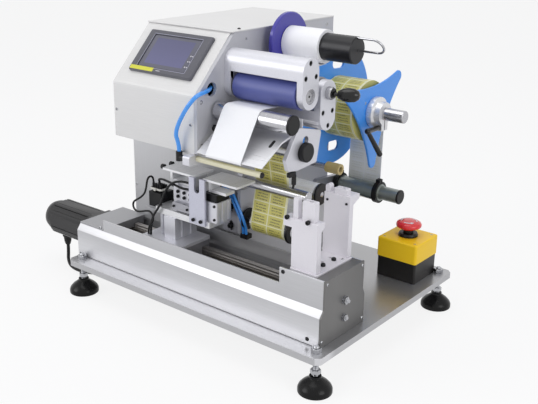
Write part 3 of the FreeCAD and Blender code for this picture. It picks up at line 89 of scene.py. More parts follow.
# Cord routes, the same points as in part.py
AIR_TUBE = [(256.3, 74.5, 377.0), (284.0, 46.8, 377.0), (288.0, 5.0, 376.0),
            (249.0, 7.0, 321.5), (250.0, 15.0, 300.0), (250.0, 15.0, 290.5)]
MOTOR_CABLE = [(-102.0, 80.0, 35.0), (-102.0, 80.0, 22.0), (-93.0, 71.0, 8.0), (-72.0, 62.0, 3.2),
               (-40.0, 62.0, 3.2), (-8.0, 80.0, 3.2), (25.0, 112.0, 6.0), (50.0, 138.0, 15.0),
               (62.0, 150.0, 30.0), (62.0, 150.0, 47.5)]
VACUUM_TUBE_1 = [(244.0, 112.0, 205.0), (259.5, 112.0, 205.0), (268.0, 110.5, 193.0), (279.0, 110.0, 176.0),
                 (283.3, 112.5, 163.0), (283.8, 116.0, 153.5), (283.8, 116.0, 144.5)]
VACUUM_TUBE_2 = [(244.0, 112.0, 211.0), (262.5, 112.0, 211.0), (273.0, 110.5, 197.0), (284.0, 110.0, 179.0),
                 (288.8, 112.5, 163.0), (289.3, 116.0, 153.5), (289.3, 116.0, 144.5)]
SENSOR_CABLE = [(124.0, 83.0, 200.0), (124.0, 83.0, 207.0), (124.3, 78.1, 212.0), (125.0, 71.2, 212.0),
                (126.5, 66.3, 206.5), (127.0, 64.0, 197.0), (125.0, 62.0, 187.0), (117.0, 60.0, 179.0),
                (108.0, 59.0, 173.5), (101.0, 58.7, 168.0), (101.0, 58.4, 159.5), (108.5, 58.0, 154.5),
                (119.0, 57.5, 156.5), (131.0, 57.0, 161.0), (142.5, 56.0, 163.5), (150.0, 55.5, 157.5),
                (149.5, 55.0, 148.0), (143.5, 54.0, 141.5), (141.0, 53.0, 134.0), (141.0, 53.0, 126.0)]

# Two thin leads over the left block, held at both ends
BLOCK_LEAD = [(139.6, 83.0, 199.0), (140.0, 80.0, 207.0), (147.0, 73.0, 213.5), (162.0, 69.0, 216.5),
              (182.0, 68.0, 214.0), (200.0, 68.5, 210.5), (216.0, 70.0, 211.5), (232.0, 73.0, 211.0),
              (245.5, 76.0, 209.0)]
DOWN_LEAD = [(231.0, 63.2, 218.0), (229.0, 67.5, 219.0), (222.0, 69.5, 221.0), (212.0, 68.5, 222.5),
             (199.0, 66.5, 222.0), (186.0, 64.5, 218.0), (177.0, 62.0, 209.0), (171.0, 60.0, 198.0),
             (166.0, 58.5, 184.0), (160.0, 57.0, 172.0), (151.0, 56.0, 160.0), (146.0, 55.0, 148.0),
             (146.0, 54.0, 136.0), (146.0, 53.0, 126.0)]


def at(x, y, z):
    """Machine millimetres to the frame's metres."""
    return (Vector((x, y, z)) - SHIFT) * MM


# Materials
def linear(colour):
    """Linear value of an ordinary screen colour, each part 0 to 255."""
    parts = []
    for c in colour:
        c = c / 255.0
        parts.append(c / 12.92 if c <= 0.04045 else ((c + 0.055) / 1.055) ** 2.4)
    return (parts[0], parts[1], parts[2], 1.0)


class Graph:
    """Small helper that adds and joins nodes of one material."""

    def __init__(self, name):
        self.material = bpy.data.materials.new(name)
        self.material.use_nodes = True
        self.tree = self.material.node_tree
        self.shader = self.tree.nodes["Principled BSDF"]
        self.coordinates = None

    def add(self, kind, links=(), **values):
        made = self.tree.nodes.new(kind)
        for key, value in values.items():
            if hasattr(made, key):
                setattr(made, key, value)
            else:
                made.inputs[key.replace("_", " ")].default_value = value
        for source, socket in links:
            self.tree.links.new(source, made.inputs[socket])
        return made

    def link(self, source, socket):
        self.tree.links.new(source, self.shader.inputs[socket])

    def place(self, scale, turn=(0, 0, 0), output="Object"):
        if self.coordinates is None:
            self.coordinates = self.add("ShaderNodeTexCoord")
        mapping = self.add("ShaderNodeMapping", [(self.coordinates.outputs[output], "Vector")])
        mapping.inputs["Scale"].default_value = scale
        mapping.inputs["Rotation"].default_value = turn
        return mapping.outputs["Vector"]

    def noise(self, scale, detail=2.0, stretch=(1, 1, 1), rough=0.5):
        vector = self.place(stretch)
        made = self.add("ShaderNodeTexNoise", [(vector, "Vector")])
        made.inputs["Scale"].default_value = scale
        made.inputs["Detail"].default_value = detail
        made.inputs["Roughness"].default_value = rough
        return made.outputs["Fac"]

    def span(self, source, low, high, start=0.25, end=0.75):
        made = self.add("ShaderNodeMapRange", [(source, "Value")])
        made.inputs["From Min"].default_value = start
        made.inputs["From Max"].default_value = end
        made.inputs["To Min"].default_value = low
        made.inputs["To Max"].default_value = high
        return made.outputs["Result"]

    def mix(self, factor, a, b, blend="MIX"):
        made = self.tree.nodes.new("ShaderNodeMix")
        made.data_type = "RGBA"
        made.blend_type = blend
        for value, index in ((factor, 0), (a, 6), (b, 7)):
            if isinstance(value, (float, int, tuple)):
                made.inputs[index].default_value = value
            else:
                self.tree.links.new(value, made.inputs[index])
        return made.outputs[2]

    def math(self, operation, a, b=0.0):
        made = self.tree.nodes.new("ShaderNodeMath")
        made.operation = operation
        for value, index in ((a, 0), (b, 1)):
            if isinstance(value, (float, int)):
                made.inputs[index].default_value = value
            else:
                self.tree.links.new(value, made.inputs[index])
        return made.outputs[0]

    def fade(self, tone, axis, stops):
        """Paint light and shade into a tone: multiply it by grey levels at heights along an object axis, heights in
        machine millimetres.
        """
        parts = self.add("ShaderNodeSeparateXYZ", [(self.place((1, 1, 1)), "Vector")])
        low, high = stops[0][0], stops[-1][0]
        shift = SHIFT["XYZ".index(axis)]
        along = self.span(parts.outputs[axis], 0.0, 1.0, (low - shift) * MM, (high - shift) * MM)
        ramp = self.add("ShaderNodeValToRGB", [(along, "Fac")])
        band = ramp.color_ramp
        band.elements[0].position, band.elements[1].position = 0.0, 1.0
        for place, _ in stops[1:-1]:
            band.elements.new((place - low) / (high - low))
        for element, (_, level) in zip(band.elements, stops):
            element.color = (level, level, level, 1.0)
        return self.mix(1.0, tone, ramp.outputs["Color"], "MULTIPLY")

    def bump(self, source, strength, distance=0.0002):
        made = self.add("ShaderNodeBump", [(source, "Height")])
        made.inputs["Strength"].default_value = strength
        made.inputs["Distance"].default_value = distance
        self.link(made.outputs["Normal"], "Normal")


def shade(colour, factor):
    return tuple(min(1.0, c * factor) for c in colour[:3]) + (1.0,)


def surface(name, colour, rough, metal=0.0, grain=900.0, stretch=(1, 1, 1), vary=0.05, cloud=0.04,
            rough_vary=0.06, bump=0.15, coat=0.0, specular=0.5, fade=None):
    """Procedural finish: fine grain over a faint cloud, in colour, roughness and relief, with painted light and shade
    along one axis when asked for.
    """
    g = Graph(name)
    base = linear(colour)
    fine = g.noise(grain, 3.0, stretch)
    broad = g.noise(9.0, 3.0)
    tone = g.mix(g.span(fine, 0.0, 1.0), shade(base, 1 - vary), shade(base, 1 + vary))
    tone = g.mix(g.span(broad, 0.0, 1.0), g.mix(1.0, tone, (1 - cloud, 1 - cloud, 1 - cloud, 1), "MULTIPLY"), tone)
    # painted light and shade: grey levels along one axis multiplied into the colour
    if fade:
        tone = g.fade(tone, *fade)
    g.link(tone, "Base Color")
    g.link(g.span(fine, rough - rough_vary, rough + rough_vary), "Roughness")
    g.shader.inputs["Metallic"].default_value = metal
    g.shader.inputs["Specular IOR Level"].default_value = specular
    if coat:
        g.shader.inputs["Coat Weight"].default_value = coat
        g.shader.inputs["Coat Roughness"].default_value = 0.08
    g.bump(fine, bump)
    return g.material


def speckled(name, colour, rough, dark=0.72, metal=0.85):
    """Bead-blasted and anodised aluminium with small dark pits."""
    g = Graph(name)
    base = linear(colour)
    fine = g.noise(1400.0, 4.0, rough=0.7)
    tone = g.mix(g.span(fine, 0.0, 1.0, 0.36, 0.46), shade(base, dark), base)
    broad = g.noise(14.0, 2.0)
    tone = g.mix(g.span(broad, 0.0, 1.0), g.mix(1.0, tone, (0.95, 0.95, 0.96, 1), "MULTIPLY"), tone)
    g.link(tone, "Base Color")
    g.link(g.span(fine, rough + 0.1, rough), "Roughness")
    g.shader.inputs["Metallic"].default_value = metal
    g.bump(fine, 0.25, 0.0001)
    return g.material


ALONG_X = (0.02, 1.0, 1.0)
ALONG_Y = (1.0, 0.02, 1.0)
ALONG_Z = (1.0, 1.0, 0.02)
RINGS = (1.0, 0.01, 0.01)


def make_materials():
    m = {}
    # base plate: painted light and shade, the front face darkened, a painted highlight band along the front of the top,
    # the top behind it darkened as painted shade
    m["plate"] = surface("ground_steel", (212, 212, 215), 0.30, 0.80, 1500, ALONG_X, 0.02, 0.02, 0.03, 0.015,
                         fade=("Y", [(0, 0.70), (1.2, 1.0), (24, 1.0), (40, 0.66), (374, 0.66)]))
    # cabinet head and lid: a painted highlight line along the head's top front fold, the faces beside it darker and the
    # lower head darkest, as painted shade
    m["coat"] = surface("brushed_cover", (228, 227, 226), 0.40, 0.15, 1500, ALONG_X, 0.035, 0.02, 0.05, 0.10,
                        fade=("Z", [(280, 0.90), (366, 0.94), (369.6, 1.0), (371.6, 1.0), (374, 0.95), (460, 0.95)]))
    # lower cabinet: a darker copy of the cover finish, darkened further towards the bottom, as painted shade under the
    # head
    m["coat_low"] = surface("brushed_cover_low", (206, 206, 208), 0.42, 0.15, 1500, ALONG_Z, 0.035, 0.03, 0.05, 0.10,
                            fade=("Z", [(60, 0.80), (180, 0.90), (300, 1.0)]))
    m["side"] = surface("side_plate_grey", (190, 190, 195), 0.40, 0.2, 1500, ALONG_Z, 0.03, 0.03, 0.05, 0.10)
    # channel: painted light and shade, the front face darker at its foot and towards its top, a bright band from 104 to
    # 113 mm painted as the highlight on the chamfer, the face above painted darker up to a bright top edge
    m["channel"] = surface("brushed_channel", (214, 214, 217), 0.38, 0.55, 1500, ALONG_X, 0.05, 0.03, 0.05, 0.08,
                           fade=("Z", [(60, 0.80), (64, 0.98), (76, 1.0), (90, 0.88), (103.8, 0.76), (104.2, 1.0),
                                       (113.2, 1.0), (113.8, 0.74), (153, 0.82), (155.5, 1.0)]))
    # channel's end plate: painted shade, darker towards the back
    m["end_plate"] = surface("brushed_end", (116, 115, 114), 0.42, 0.4, 1500, ALONG_Z, 0.06, 0.05, 0.05, 0.08,
                             fade=("Y", [(25, 0.95), (60, 1.0), (132, 0.76)]))
    m["cover"] = surface("cover_grey", (160, 160, 163), 0.42, 0.4, 1500, ALONG_Y, 0.05, 0.05, 0.05, 0.10)
    # dark grey for the motor-side end of the cover, and painted shade on the cover's faces inside the channel's left
    # end
    m["dark_cover_and_painted_shade"] = surface("dark_cover_and_painted_shade", (70, 70, 73), 0.46, 0.3, 1500, (1, 1, 1), 0.06, 0.05, 0.05, 0.15)
    m["anodised"] = speckled("anodised", (217, 217, 223), 0.38, 0.88, 0.55)
    m["anodised_lilac"] = speckled("anodised_lilac", (198, 199, 212), 0.38, 0.82, 0.7)
    m["anodised_grey"] = speckled("anodised_grey", (168, 168, 174), 0.40, 0.82, 0.75)
    m["tower"] = speckled("tower_alloy", (230, 227, 232), 0.44, 0.93, 0.15)
    m["brushed"] = surface("brushed_alu", (226, 226, 228), 0.32, 0.55, 1300, ALONG_X, 0.10, 0.05, 0.09, 0.10)
    m["fold"] = surface("folding_plate", (240, 240, 242), 0.34, 0.25, 1300, ALONG_Y, 0.08, 0.06, 0.09, 0.08)
    m["bright"] = surface("bright_sheet", (232, 232, 235), 0.32, 0.45, 1300, ALONG_X, 0.05, 0.05, 0.06, 0.05)
    m["turned"] = surface("turned_steel", (176, 176, 180), 0.24, 1.0, 1500, RINGS, 0.10, 0.03, 0.06, 0.08)
    m["polished"] = surface("polished_steel", (184, 184, 188), 0.22, 0.9, 1500, RINGS, 0.06, 0.03, 0.05, 0.04)
    m["zinc"] = surface("zinc", (176, 177, 181), 0.26, 1.0, 700, (1, 1, 1), 0.10, 0.06, 0.08, 0.12)
    m["black_screw"] = surface("black_oxide", (34, 34, 37), 0.38, 0.6, 900, (1, 1, 1), 0.15, 0.05, 0.08, 0.15)
    m["dark_alloy"] = surface("drive_alloy", (150, 145, 141), 0.36, 0.8, 1300, ALONG_X, 0.12, 0.06, 0.08, 0.12)
    m["rail"] = surface("rail_steel", (162, 158, 155), 0.40, 0.6, 1300, ALONG_X, 0.04, 0.04, 0.04, 0.05)
    m["screw_steel"] = surface("screw_steel", (142, 138, 134), 0.38, 0.6, 1300, ALONG_X, 0.05, 0.04, 0.04, 0.05)
    m["black_anodised"] = surface("black_anodised", (36, 36, 39), 0.34, 0.4, 1200, RINGS, 0.15, 0.05, 0.06, 0.12)
    m["black_plastic"] = surface("black_plastic", (15, 15, 17), 0.42, 0.0, 1500, (1, 1, 1), 0.12, 0.05, 0.06, 0.20, specular=0.3)
    m["gloss_black"] = surface("gloss_black", (12, 11, 12), 0.18, 0.0, 600, (1, 1, 1), 0.10, 0.05, 0.03, 0.05, 0.15, 0.35)
    m["foot"] = surface("foot_black", (9, 9, 10), 0.26, 0.0, 900, (1, 1, 1), 0.12, 0.05, 0.05, 0.15, specular=0.22)
    m["rubber"] = surface("rubber_black", (17, 17, 18), 0.50, 0.0, 1200, (1, 1, 1), 0.12, 0.06, 0.05, 0.2, specular=0.3)
    m["motor"] = surface("motor_black", (28, 27, 29), 0.38, 0.0, 1500, (1, 1, 1), 0.12, 0.06, 0.06, 0.25, specular=0.4)
    m["blue_sleeve"] = surface("blue_sleeve", (84, 92, 156), 0.40, 0.0, 1500, RINGS, 0.06, 0.05, 0.06, 0.15)
    m["grey_sleeve"] = surface("grey_sleeve", (150, 150, 154), 0.42, 0.1, 1500, RINGS, 0.06, 0.05, 0.06, 0.15)
    m["flange_blue"] = surface("flange_blue", (62, 56, 160), 0.24, 0.1, 900, (1, 1, 1), 0.06, 0.05, 0.04, 0.06, 0.4)
    m["star_blue"] = surface("star_blue", (58, 148, 242), 0.32, 0.0, 1300, (1, 1, 1), 0.04, 0.04, 0.05, 0.10, 0.3)
    m["tube_blue"] = surface("tube_blue", (66, 156, 246), 0.20, 0.0, 500, (1, 1, 1), 0.05, 0.06, 0.03, 0.03, 0.4)
    m["cream"] = surface("cream_plastic", (232, 227, 196), 0.36, 0.0, 1500, (1, 1, 1), 0.03, 0.04, 0.04, 0.08)
    m["tan"] = surface("tan_plastic", (188, 168, 112), 0.40, 0.0, 900, (1, 1, 1), 0.06, 0.05, 0.05, 0.12)
    m["tube_grey"] = surface("guide_tube", (150, 156, 152), 0.34, 0.6, 1300, RINGS, 0.08, 0.05, 0.06, 0.10)
    m["paper"] = surface("backing_paper", (244, 244, 246), 0.32, 0.0, 700, (1, 1, 1), 0.012, 0.015, 0.05, 0.10)
    m["paper_side"] = surface("wound_paper", (250, 250, 252), 0.5, 0.0, 900, RINGS, 0.02, 0.02, 0.05, 0.10)
    m["roll"] = surface("label_stock", (208, 200, 118), 0.38, 0.0, 900, (1, 1, 1), 0.05, 0.05, 0.05, 0.12)
    m["card"] = surface("core_card", (182, 160, 122), 0.7, 0.0, 900, (1, 1, 1), 0.08, 0.06, 0.05, 0.2)
    m["yellow"] = surface("stop_yellow", (255, 208, 34), 0.36, 0.0, 1500, (1, 1, 1), 0.03, 0.03, 0.04, 0.12, specular=0.3)
    m["stop_black"] = surface("stop_black", (24, 22, 21), 0.36, 0.0, 1500, (1, 1, 1), 0.10, 0.05, 0.05, 0.18, specular=0.3)
    m["red"] = surface("stop_red", (228, 34, 42), 0.24, 0.0, 900, (1, 1, 1), 0.04, 0.04, 0.04, 0.06, 0.3)
    m["bezel"] = surface("bezel_grey", (88, 88, 96), 0.42, 0.0, 1500, (1, 1, 1), 0.06, 0.04, 0.05, 0.18)
    m["sticker"] = surface("bare_sticker", (216, 214, 70), 0.35, 0.0, 1200, (1, 1, 1), 0.04, 0.06, 0.05, 0.05)
    m["mark"] = surface("pale_mark", (214, 212, 216), 0.4, 0.0, 1500, (1, 1, 1), 0.04, 0.04, 0.05, 0.05)
    # pale strips round the display glass: painted highlight on the recess's edge
    m["painted_edge_highlight"] = surface("painted_edge_highlight", (158, 158, 176), 0.4, 0.0, 1500, (1, 1, 1), 0.04, 0.04, 0.05, 0.05)
    m["tie"] = surface("nylon_tie", (226, 224, 216), 0.4, 0.0, 1500, (1, 1, 1), 0.04, 0.04, 0.05, 0.08)
    # near black painted into screw sockets, centre holes and the table's slot as the shade inside them
    m["hole"] = surface("painted_hole_shade", (12, 12, 14), 0.7, 0.0, 900, (1, 1, 1), 0.2, 0.1, 0.05, 0.1)
    return m


MAT = make_materials()


# Mesh pieces
def finish_mesh(name, bm, materials, body, hides=(), bevel=0.0, angle=32.0, segments=2):
    """Turn a mesh in machine millimetres into a piece that rides on a body."""
    for vert in bm.verts:
        vert.co = (vert.co - SHIFT) * MM
    mesh = bpy.data.meshes.new(name)
    bm.to_mesh(mesh)
    bm.free()
    for key in materials:
        mesh.materials.append(MAT[key])
    for face in mesh.polygons:
        face.use_smooth = True
    mesh.set_sharp_from_angle(angle=math.radians(angle))
    piece = bpy.data.objects.new(name, mesh)
    bpy.context.scene.collection.objects.link(piece)
    if bevel > 0.0:
        rounding = piece.modifiers.new("edges", "BEVEL")
        rounding.width = bevel * MM
        rounding.segments = segments
        rounding.limit_method = "ANGLE"
        rounding.angle_limit = math.radians(angle)
        rounding.harden_normals = True
        rounding.use_clamp_overlap = True
    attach(piece, body)
    if hides:
        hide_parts(*hides)
    return piece


def dress(node, key, bevel=0.5, special=(), angle=32.0, name=None):
    """Rounded and finished copy of a node; special gives (material, test on a face's middle)."""
    body = frame["nodes"][node]["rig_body"]
    bm = bmesh.new()
    bm.from_mesh(frame["nodes"][node].data)
    for vert in bm.verts:
        vert.co = vert.co / MM + SHIFT
    bmesh.ops.remove_doubles(bm, verts=bm.verts, dist=0.002)
    keys = [key]
    for face in bm.faces:
        middle = face.calc_center_median()
        for other, test in special:
            if test(middle):
                if other not in keys:
                    keys.append(other)
                face.material_index = keys.index(other)
                break
    bmesh.ops.dissolve_limit(bm, angle_limit=math.radians(0.6), verts=bm.verts, edges=bm.edges,
                             delimit={"MATERIAL"})
    return finish_mesh(name or "v_" + node, bm, keys, body, (node,), bevel, angle)


def beyond(x):
    """Test for faces to the right of x."""
    return lambda p: p.x > x


def around(axis, low, high, x0, x1):
    """Test for faces between two radii about an axis (y, z, ...) and between two x."""
    return lambda p: x0 < p.x < x1 and low < math.hypot(p.y - axis[0], p.z - axis[1]) < high


def basis(axis):
    """Two directions square to an axis."""
    axis = Vector(axis).normalized()
    helper = Vector((0, 0, 1)) if abs(axis.z) < 0.9 else Vector((1, 0, 0))
    side = axis.cross(helper).normalized()
    return axis, side, axis.cross(side).normalized()


def outline_radius(shape, r, angle):
    """Radius of a round, hexagonal or crossed outline at an angle."""
    if shape == "hex":
        part = (angle % (math.pi / 3)) - math.pi / 6
        return r / math.cos(part)
    if shape == "cross":
        part = abs((angle + math.pi / 4) % (math.pi / 2) - math.pi / 4)
        return r * (1.0 if part < 0.32 else 0.42)
    return r


def lathe(bm, profile, origin, axis, index=0, steps=24, turn=0.0):
    """Add a turned shape; each profile point is (along, radius) or (along, radius, outline)."""
    axis, side, up = basis(axis)
    origin = Vector(origin)
    rings = []
    for point in profile:
        along, r = point[0], point[1]
        shape = point[2] if len(point) > 2 else "round"
        centre = origin + axis * along
        if r <= 0.0:
            rings.append([bm.verts.new(centre)])
            continue
        ring = []
        for k in range(steps):
            angle = 2 * math.pi * k / steps
            radius = outline_radius(shape, r, angle)
            ring.append(bm.verts.new(centre + (side * math.cos(angle + turn) + up * math.sin(angle + turn)) * radius))
        rings.append(ring)
    for a, b in zip(rings[:-1], rings[1:]):
        for k in range(steps):
            n = (k + 1) % steps
            if len(a) == 1 and len(b) == 1:
                continue
            if len(a) == 1:
                corners = (a[0], b[k], b[n])
            elif len(b) == 1:
                corners = (a[k], b[0], a[n])
            else:
                corners = (a[k], b[k], b[n], a[n])
            face = bm.faces.new(corners)
            face.material_index = index


def slab(bm, outline, origin, u, v, depth, index=0):
    """Add an extruded outline, given in (u, v) about an origin; depth runs along u x v."""
    u, v, origin = Vector(u), Vector(v), Vector(origin)
    w = u.cross(v)
    low = [bm.verts.new(origin + u * a + v * b) for a, b in outline]
    high = [bm.verts.new(origin + u * a + v * b + w * depth) for a, b in outline]
    faces = [bm.faces.new(list(reversed(low))), bm.faces.new(high)]
    count = len(outline)
    for k in range(count):
        n = (k + 1) % count
        faces.append(bm.faces.new((low[k], low[n], high[n], high[k])))
    for face in faces:
        face.material_index = index


def rounded(w, h, r, steps=5):
    """Outline of a rectangle with rounded corners about the origin."""
    points = []
    for cx, cy, start in ((w - r, h - r, 0), (r - w, h - r, 90), (r - w, r - h, 180), (w - r, r - h, 270)):
        for k in range(steps + 1):
            a = math.radians(start + 90.0 * k / steps)
            points.append((cx + r * math.cos(a), cy + r * math.sin(a)))
    return points


def cord_piece(name, points, radius, key, body):
    """Cord as a smooth spline through its route's control points."""
    curve = bpy.data.curves.new(name, "CURVE")
    curve.dimensions = "3D"
    spline = curve.splines.new("NURBS")
    spline.points.add(len(points) - 1)
    for point, place in zip(spline.points, points):
        point.co = (*at(*place), 1.0)
    spline.order_u = 3
    spline.use_endpoint_u = True
    curve.resolution_u = 8
    curve.bevel_depth = radius * MM
    curve.bevel_resolution = 4
    curve.use_fill_caps = True
    curve.materials.append(MAT[key])
    piece = bpy.data.objects.new(name, curve)
    bpy.context.scene.collection.objects.link(piece)
    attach(piece, body)
    return piece


def cords():
    for name, points, diameter, key, body, length in (
            ("air_tube", AIR_TUBE, 6.0, "tube_blue", "frame", 0.1694),
            ("motor_cable", MOTOR_CABLE, 6.0, "rubber", "frame", 0.2435),
            ("sensor_cable", SENSOR_CABLE, 3.2, "rubber", "station", 0.1716),
            ("vacuum_tube_1", VACUUM_TUBE_1, 4.4, "tube_blue", "frame", 0.0823),
            ("vacuum_tube_2", VACUUM_TUBE_2, 4.4, "tube_blue", "frame", 0.0917)):
        piece = cord_piece("cord_" + name, points, 0.5 * diameter, key, body)
        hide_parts(name)
    for name, points, length in (("block_lead", BLOCK_LEAD, 0.1197), ("down_lead", DOWN_LEAD, 0.1524)):
        piece = cord_piece("cord_" + name, points, 1.8, "rubber", "station")


# Webs
def web_points(circles, step=3.0):
    """Middle line of a web that runs round circles (y, z, radius, sense), as (y, z) points."""
    runs = []
    for (y1, z1, r1, s1), (y2, z2, r2, s2) in zip(circles[:-1], circles[1:]):
        dy, dz = y2 - y1, z2 - z1
        angle = math.atan2(dz, dy) - math.asin((s2 * r2 - s1 * r1) / math.hypot(dy, dz))
        ny, nz = -math.sin(angle), math.cos(angle)
        runs.append(((y1 - s1 * r1 * ny, z1 - s1 * r1 * nz), (y2 - s2 * r2 * ny, z2 - s2 * r2 * nz), angle))
    points = []
    for i, (start, end, angle) in enumerate(runs):
        length = math.dist(start, end)
        count = max(1, int(length / step))
        for k in range(count + 1):
            f = k / count
            points.append((start[0] + (end[0] - start[0]) * f, start[1] + (end[1] - start[1]) * f))
        if i + 1 == len(runs):
            break
        y, z, r, sense = circles[i + 1]
        turn = runs[i + 1][2] - angle
        while turn * sense < 0:
            turn += sense * 2 * math.pi
        count = max(2, int(abs(turn) * max(r, 2.0) / step * 1.5))
        for k in range(1, count):
            a = angle + turn * k / count
            points.append((y + sense * r * math.sin(a), z - sense * r * math.cos(a)))
    return points


def ribbon(name, circles, x0, x1, thickness, keys, body, hides):
    """Thin band with its run length as texture coordinate."""
    points = web_points(circles)
    bm = bmesh.new()
    layer = bm.loops.layers.uv.new("run")
    rows, run = [], 0.0
    for i, (y, z) in enumerate(points):
        py, pz = points[max(0, i - 1)]
        ny, nz = points[min(len(points) - 1, i + 1)]
        ty, tz = ny - py, nz - pz
        size = math.hypot(ty, tz)
        oy, oz = -tz / size * 0.5 * thickness, ty / size * 0.5 * thickness
        if i:
            run += math.dist(points[i - 1], points[i])
        row = [bm.verts.new((x, y + s * oy, z + s * oz)) for x, s in ((x0, 1), (x1, 1), (x1, -1), (x0, -1))]
        rows.append((row, run))
    wide = x1 - x0
    for (a, ra), (b, rb) in zip(rows[:-1], rows[1:]):
        for k in range(4):
            n = (k + 1) % 4
            face = bm.faces.new((a[k], a[n], b[n], b[k]))
            face.material_index = 0 if k == 0 else 1 if k == 2 else 2
            across = (0.0, wide) if k == 0 else (wide, 0.0)
            if k in (1, 3):
                across = (across[0], across[0] + thickness)
            for loop, value in zip(face.loops, ((across[0], ra), (across[1], ra), (across[1], rb), (across[0], rb))):
                loop[layer].uv = value
    for row in (rows[0][0], rows[-1][0]):
        bm.faces.new(row)
    bmesh.ops.recalc_face_normals(bm, faces=bm.faces)
    return finish_mesh(name, bm, keys, body, hides, 0.0, 50.0)


def touching(roller, sense):
    y, z, r = roller
    return (y, z, r + WEB_GAP + 0.5 * WEB_THICKNESS, sense)


def label_material(name, carrier, light, dark, print_tone, pitch=17.0, gap=1.6):
    """Label stock: labels in two columns on their carrier, each with plain blocks of print."""
    g = Graph(name)
    uv = g.place((1, 1, 1), output="UV")
    parts = g.add("ShaderNodeSeparateXYZ", [(uv, "Vector")])
    across, run = parts.outputs["X"], parts.outputs["Y"]
    local = g.math("MODULO", g.math("ADD", run, 510.0), pitch)
    column = g.math("MODULO", g.math("ADD", across, 27.5), 29.5)
    inside = g.math("MULTIPLY", g.math("LESS_THAN", local, pitch - gap), g.math("LESS_THAN", column, 27.5))
    for operation, limit in (("GREATER_THAN", 2.0), ("LESS_THAN", 61.0)):
        inside = g.math("MULTIPLY", inside, g.math(operation, across, limit))
    # each label carries three rows of dashed marks
    row = g.math("MODULO", local, 4.2)
    bar = g.math("MULTIPLY", g.math("GREATER_THAN", row, 1.5), g.math("LESS_THAN", row, 3.4))
    for operation, source, limit in (("GREATER_THAN", column, 4.0), ("LESS_THAN", column, 23.5),
                                     ("LESS_THAN", local, pitch - gap - 1.8)):
        bar = g.math("MULTIPLY", bar, g.math(operation, source, limit))
    marks = g.add("ShaderNodeTexNoise", [(uv, "Vector")])
    marks.inputs["Scale"].default_value = 0.55
    marks.inputs["Detail"].default_value = 2.0
    bar = g.math("MULTIPLY", bar, g.math("GREATER_THAN", marks.outputs["Fac"], 0.45))
    fine = g.noise(800.0, 2.0)
    broad = g.noise(30.0, 2.0)
    stock = g.mix(g.span(broad, 0.0, 1.0), linear(dark), linear(light))
    stock = g.mix(g.span(fine, 0.0, 0.25), stock, linear(light))
    colour = g.mix(inside, linear(carrier), g.mix(bar, stock, linear(print_tone)))
    g.link(colour, "Base Color")
    g.link(g.span(fine, 0.26, 0.36), "Roughness")
    g.bump(inside, 0.25, 0.0001)
    return g.material


def webs():
    MAT["labels"] = label_material("label_stock", (230, 228, 190), (216, 208, 114), (196, 188, 100), (134, 129, 78))
    MAT["label_back"] = label_material("label_back", (252, 252, 252), (250, 250, 246), (246, 246, 240), (238, 237, 230))
    y, z, r = REEL
    path = [(y, z, r + WEB_GAP + 0.5 * WEB_THICKNESS, -1), touching(GUIDE_ROLLER, -1), touching(REAR_ROLLER, 1),
            touching(FRONT_ROLLER, -1), touching(POLISHED_ROD, 1), touching(LOWER_IDLER, 1),
            (NOSE[0] + 3.5, NOSE[1] + 0.1, 0.3, -1)]
    ribbon("label_band", path, WEB_X0, WEB_X1, WEB_THICKNESS, ["labels", "label_back", "paper"], "frame",
           ("label_web",))
    path = [(NOSE[0] + 2.6, NOSE[1] - 0.2, 0.3, -1), (NOSE[0] + 0.2, NOSE[1] + 1.5, 2.3, -1),
            touching(UPPER_IDLER, -1), touching(DRIVE_ROLLER, 1), touching(NIP_ROLLER, -1),
            (REWINDER[0], REWINDER[1], REWINDER[2] + WEB_GAP + 0.5 * WEB_THICKNESS, 1)]
    ribbon("backing_band", path, WEB_X0, WEB_X1, WEB_THICKNESS, ["paper", "paper", "paper"], "frame",
           ("liner_web",))


def screen_material():
    """Dim touch screen: bluish display in a darker border, told apart by place on the sloping panel."""
    g = Graph("screen")
    parts = g.add("ShaderNodeSeparateXYZ", [(g.place((1, 1, 1)), "Vector")])
    middle = (PANEL_PLACE - SHIFT) * MM
    across = g.math("SUBTRACT", parts.outputs["X"], middle.x)
    up = g.math("ADD", g.math("MULTIPLY", g.math("SUBTRACT", parts.outputs["Y"], middle.y), math.cos(PANEL_LEAN)),
                g.math("MULTIPLY", g.math("SUBTRACT", parts.outputs["Z"], middle.z), math.sin(PANEL_LEAN)))
    display = 1.0
    for source, low, high in ((across, -0.040, 0.036), (up, -0.0215, 0.0235)):
        display = g.math("MULTIPLY", g.math("GREATER_THAN", source, low), display)
        display = g.math("MULTIPLY", g.math("LESS_THAN", source, high), display)
    glow = g.mix(g.span(up, 0.0, 1.0, -0.022, 0.024), linear((96, 96, 134)), linear((84, 84, 118)))
    broad = g.noise(14.0, 2.0)
    border = g.mix(g.span(broad, 0.0, 1.0), linear((84, 84, 98)), linear((96, 96, 110)))
    g.link(g.mix(display, border, glow), "Base Color")
    g.link(g.span(broad, 0.16, 0.22), "Roughness")
    g.shader.inputs["Coat Weight"].default_value = 0.25
    g.shader.inputs["Coat Roughness"].default_value = 0.10
    return g.material


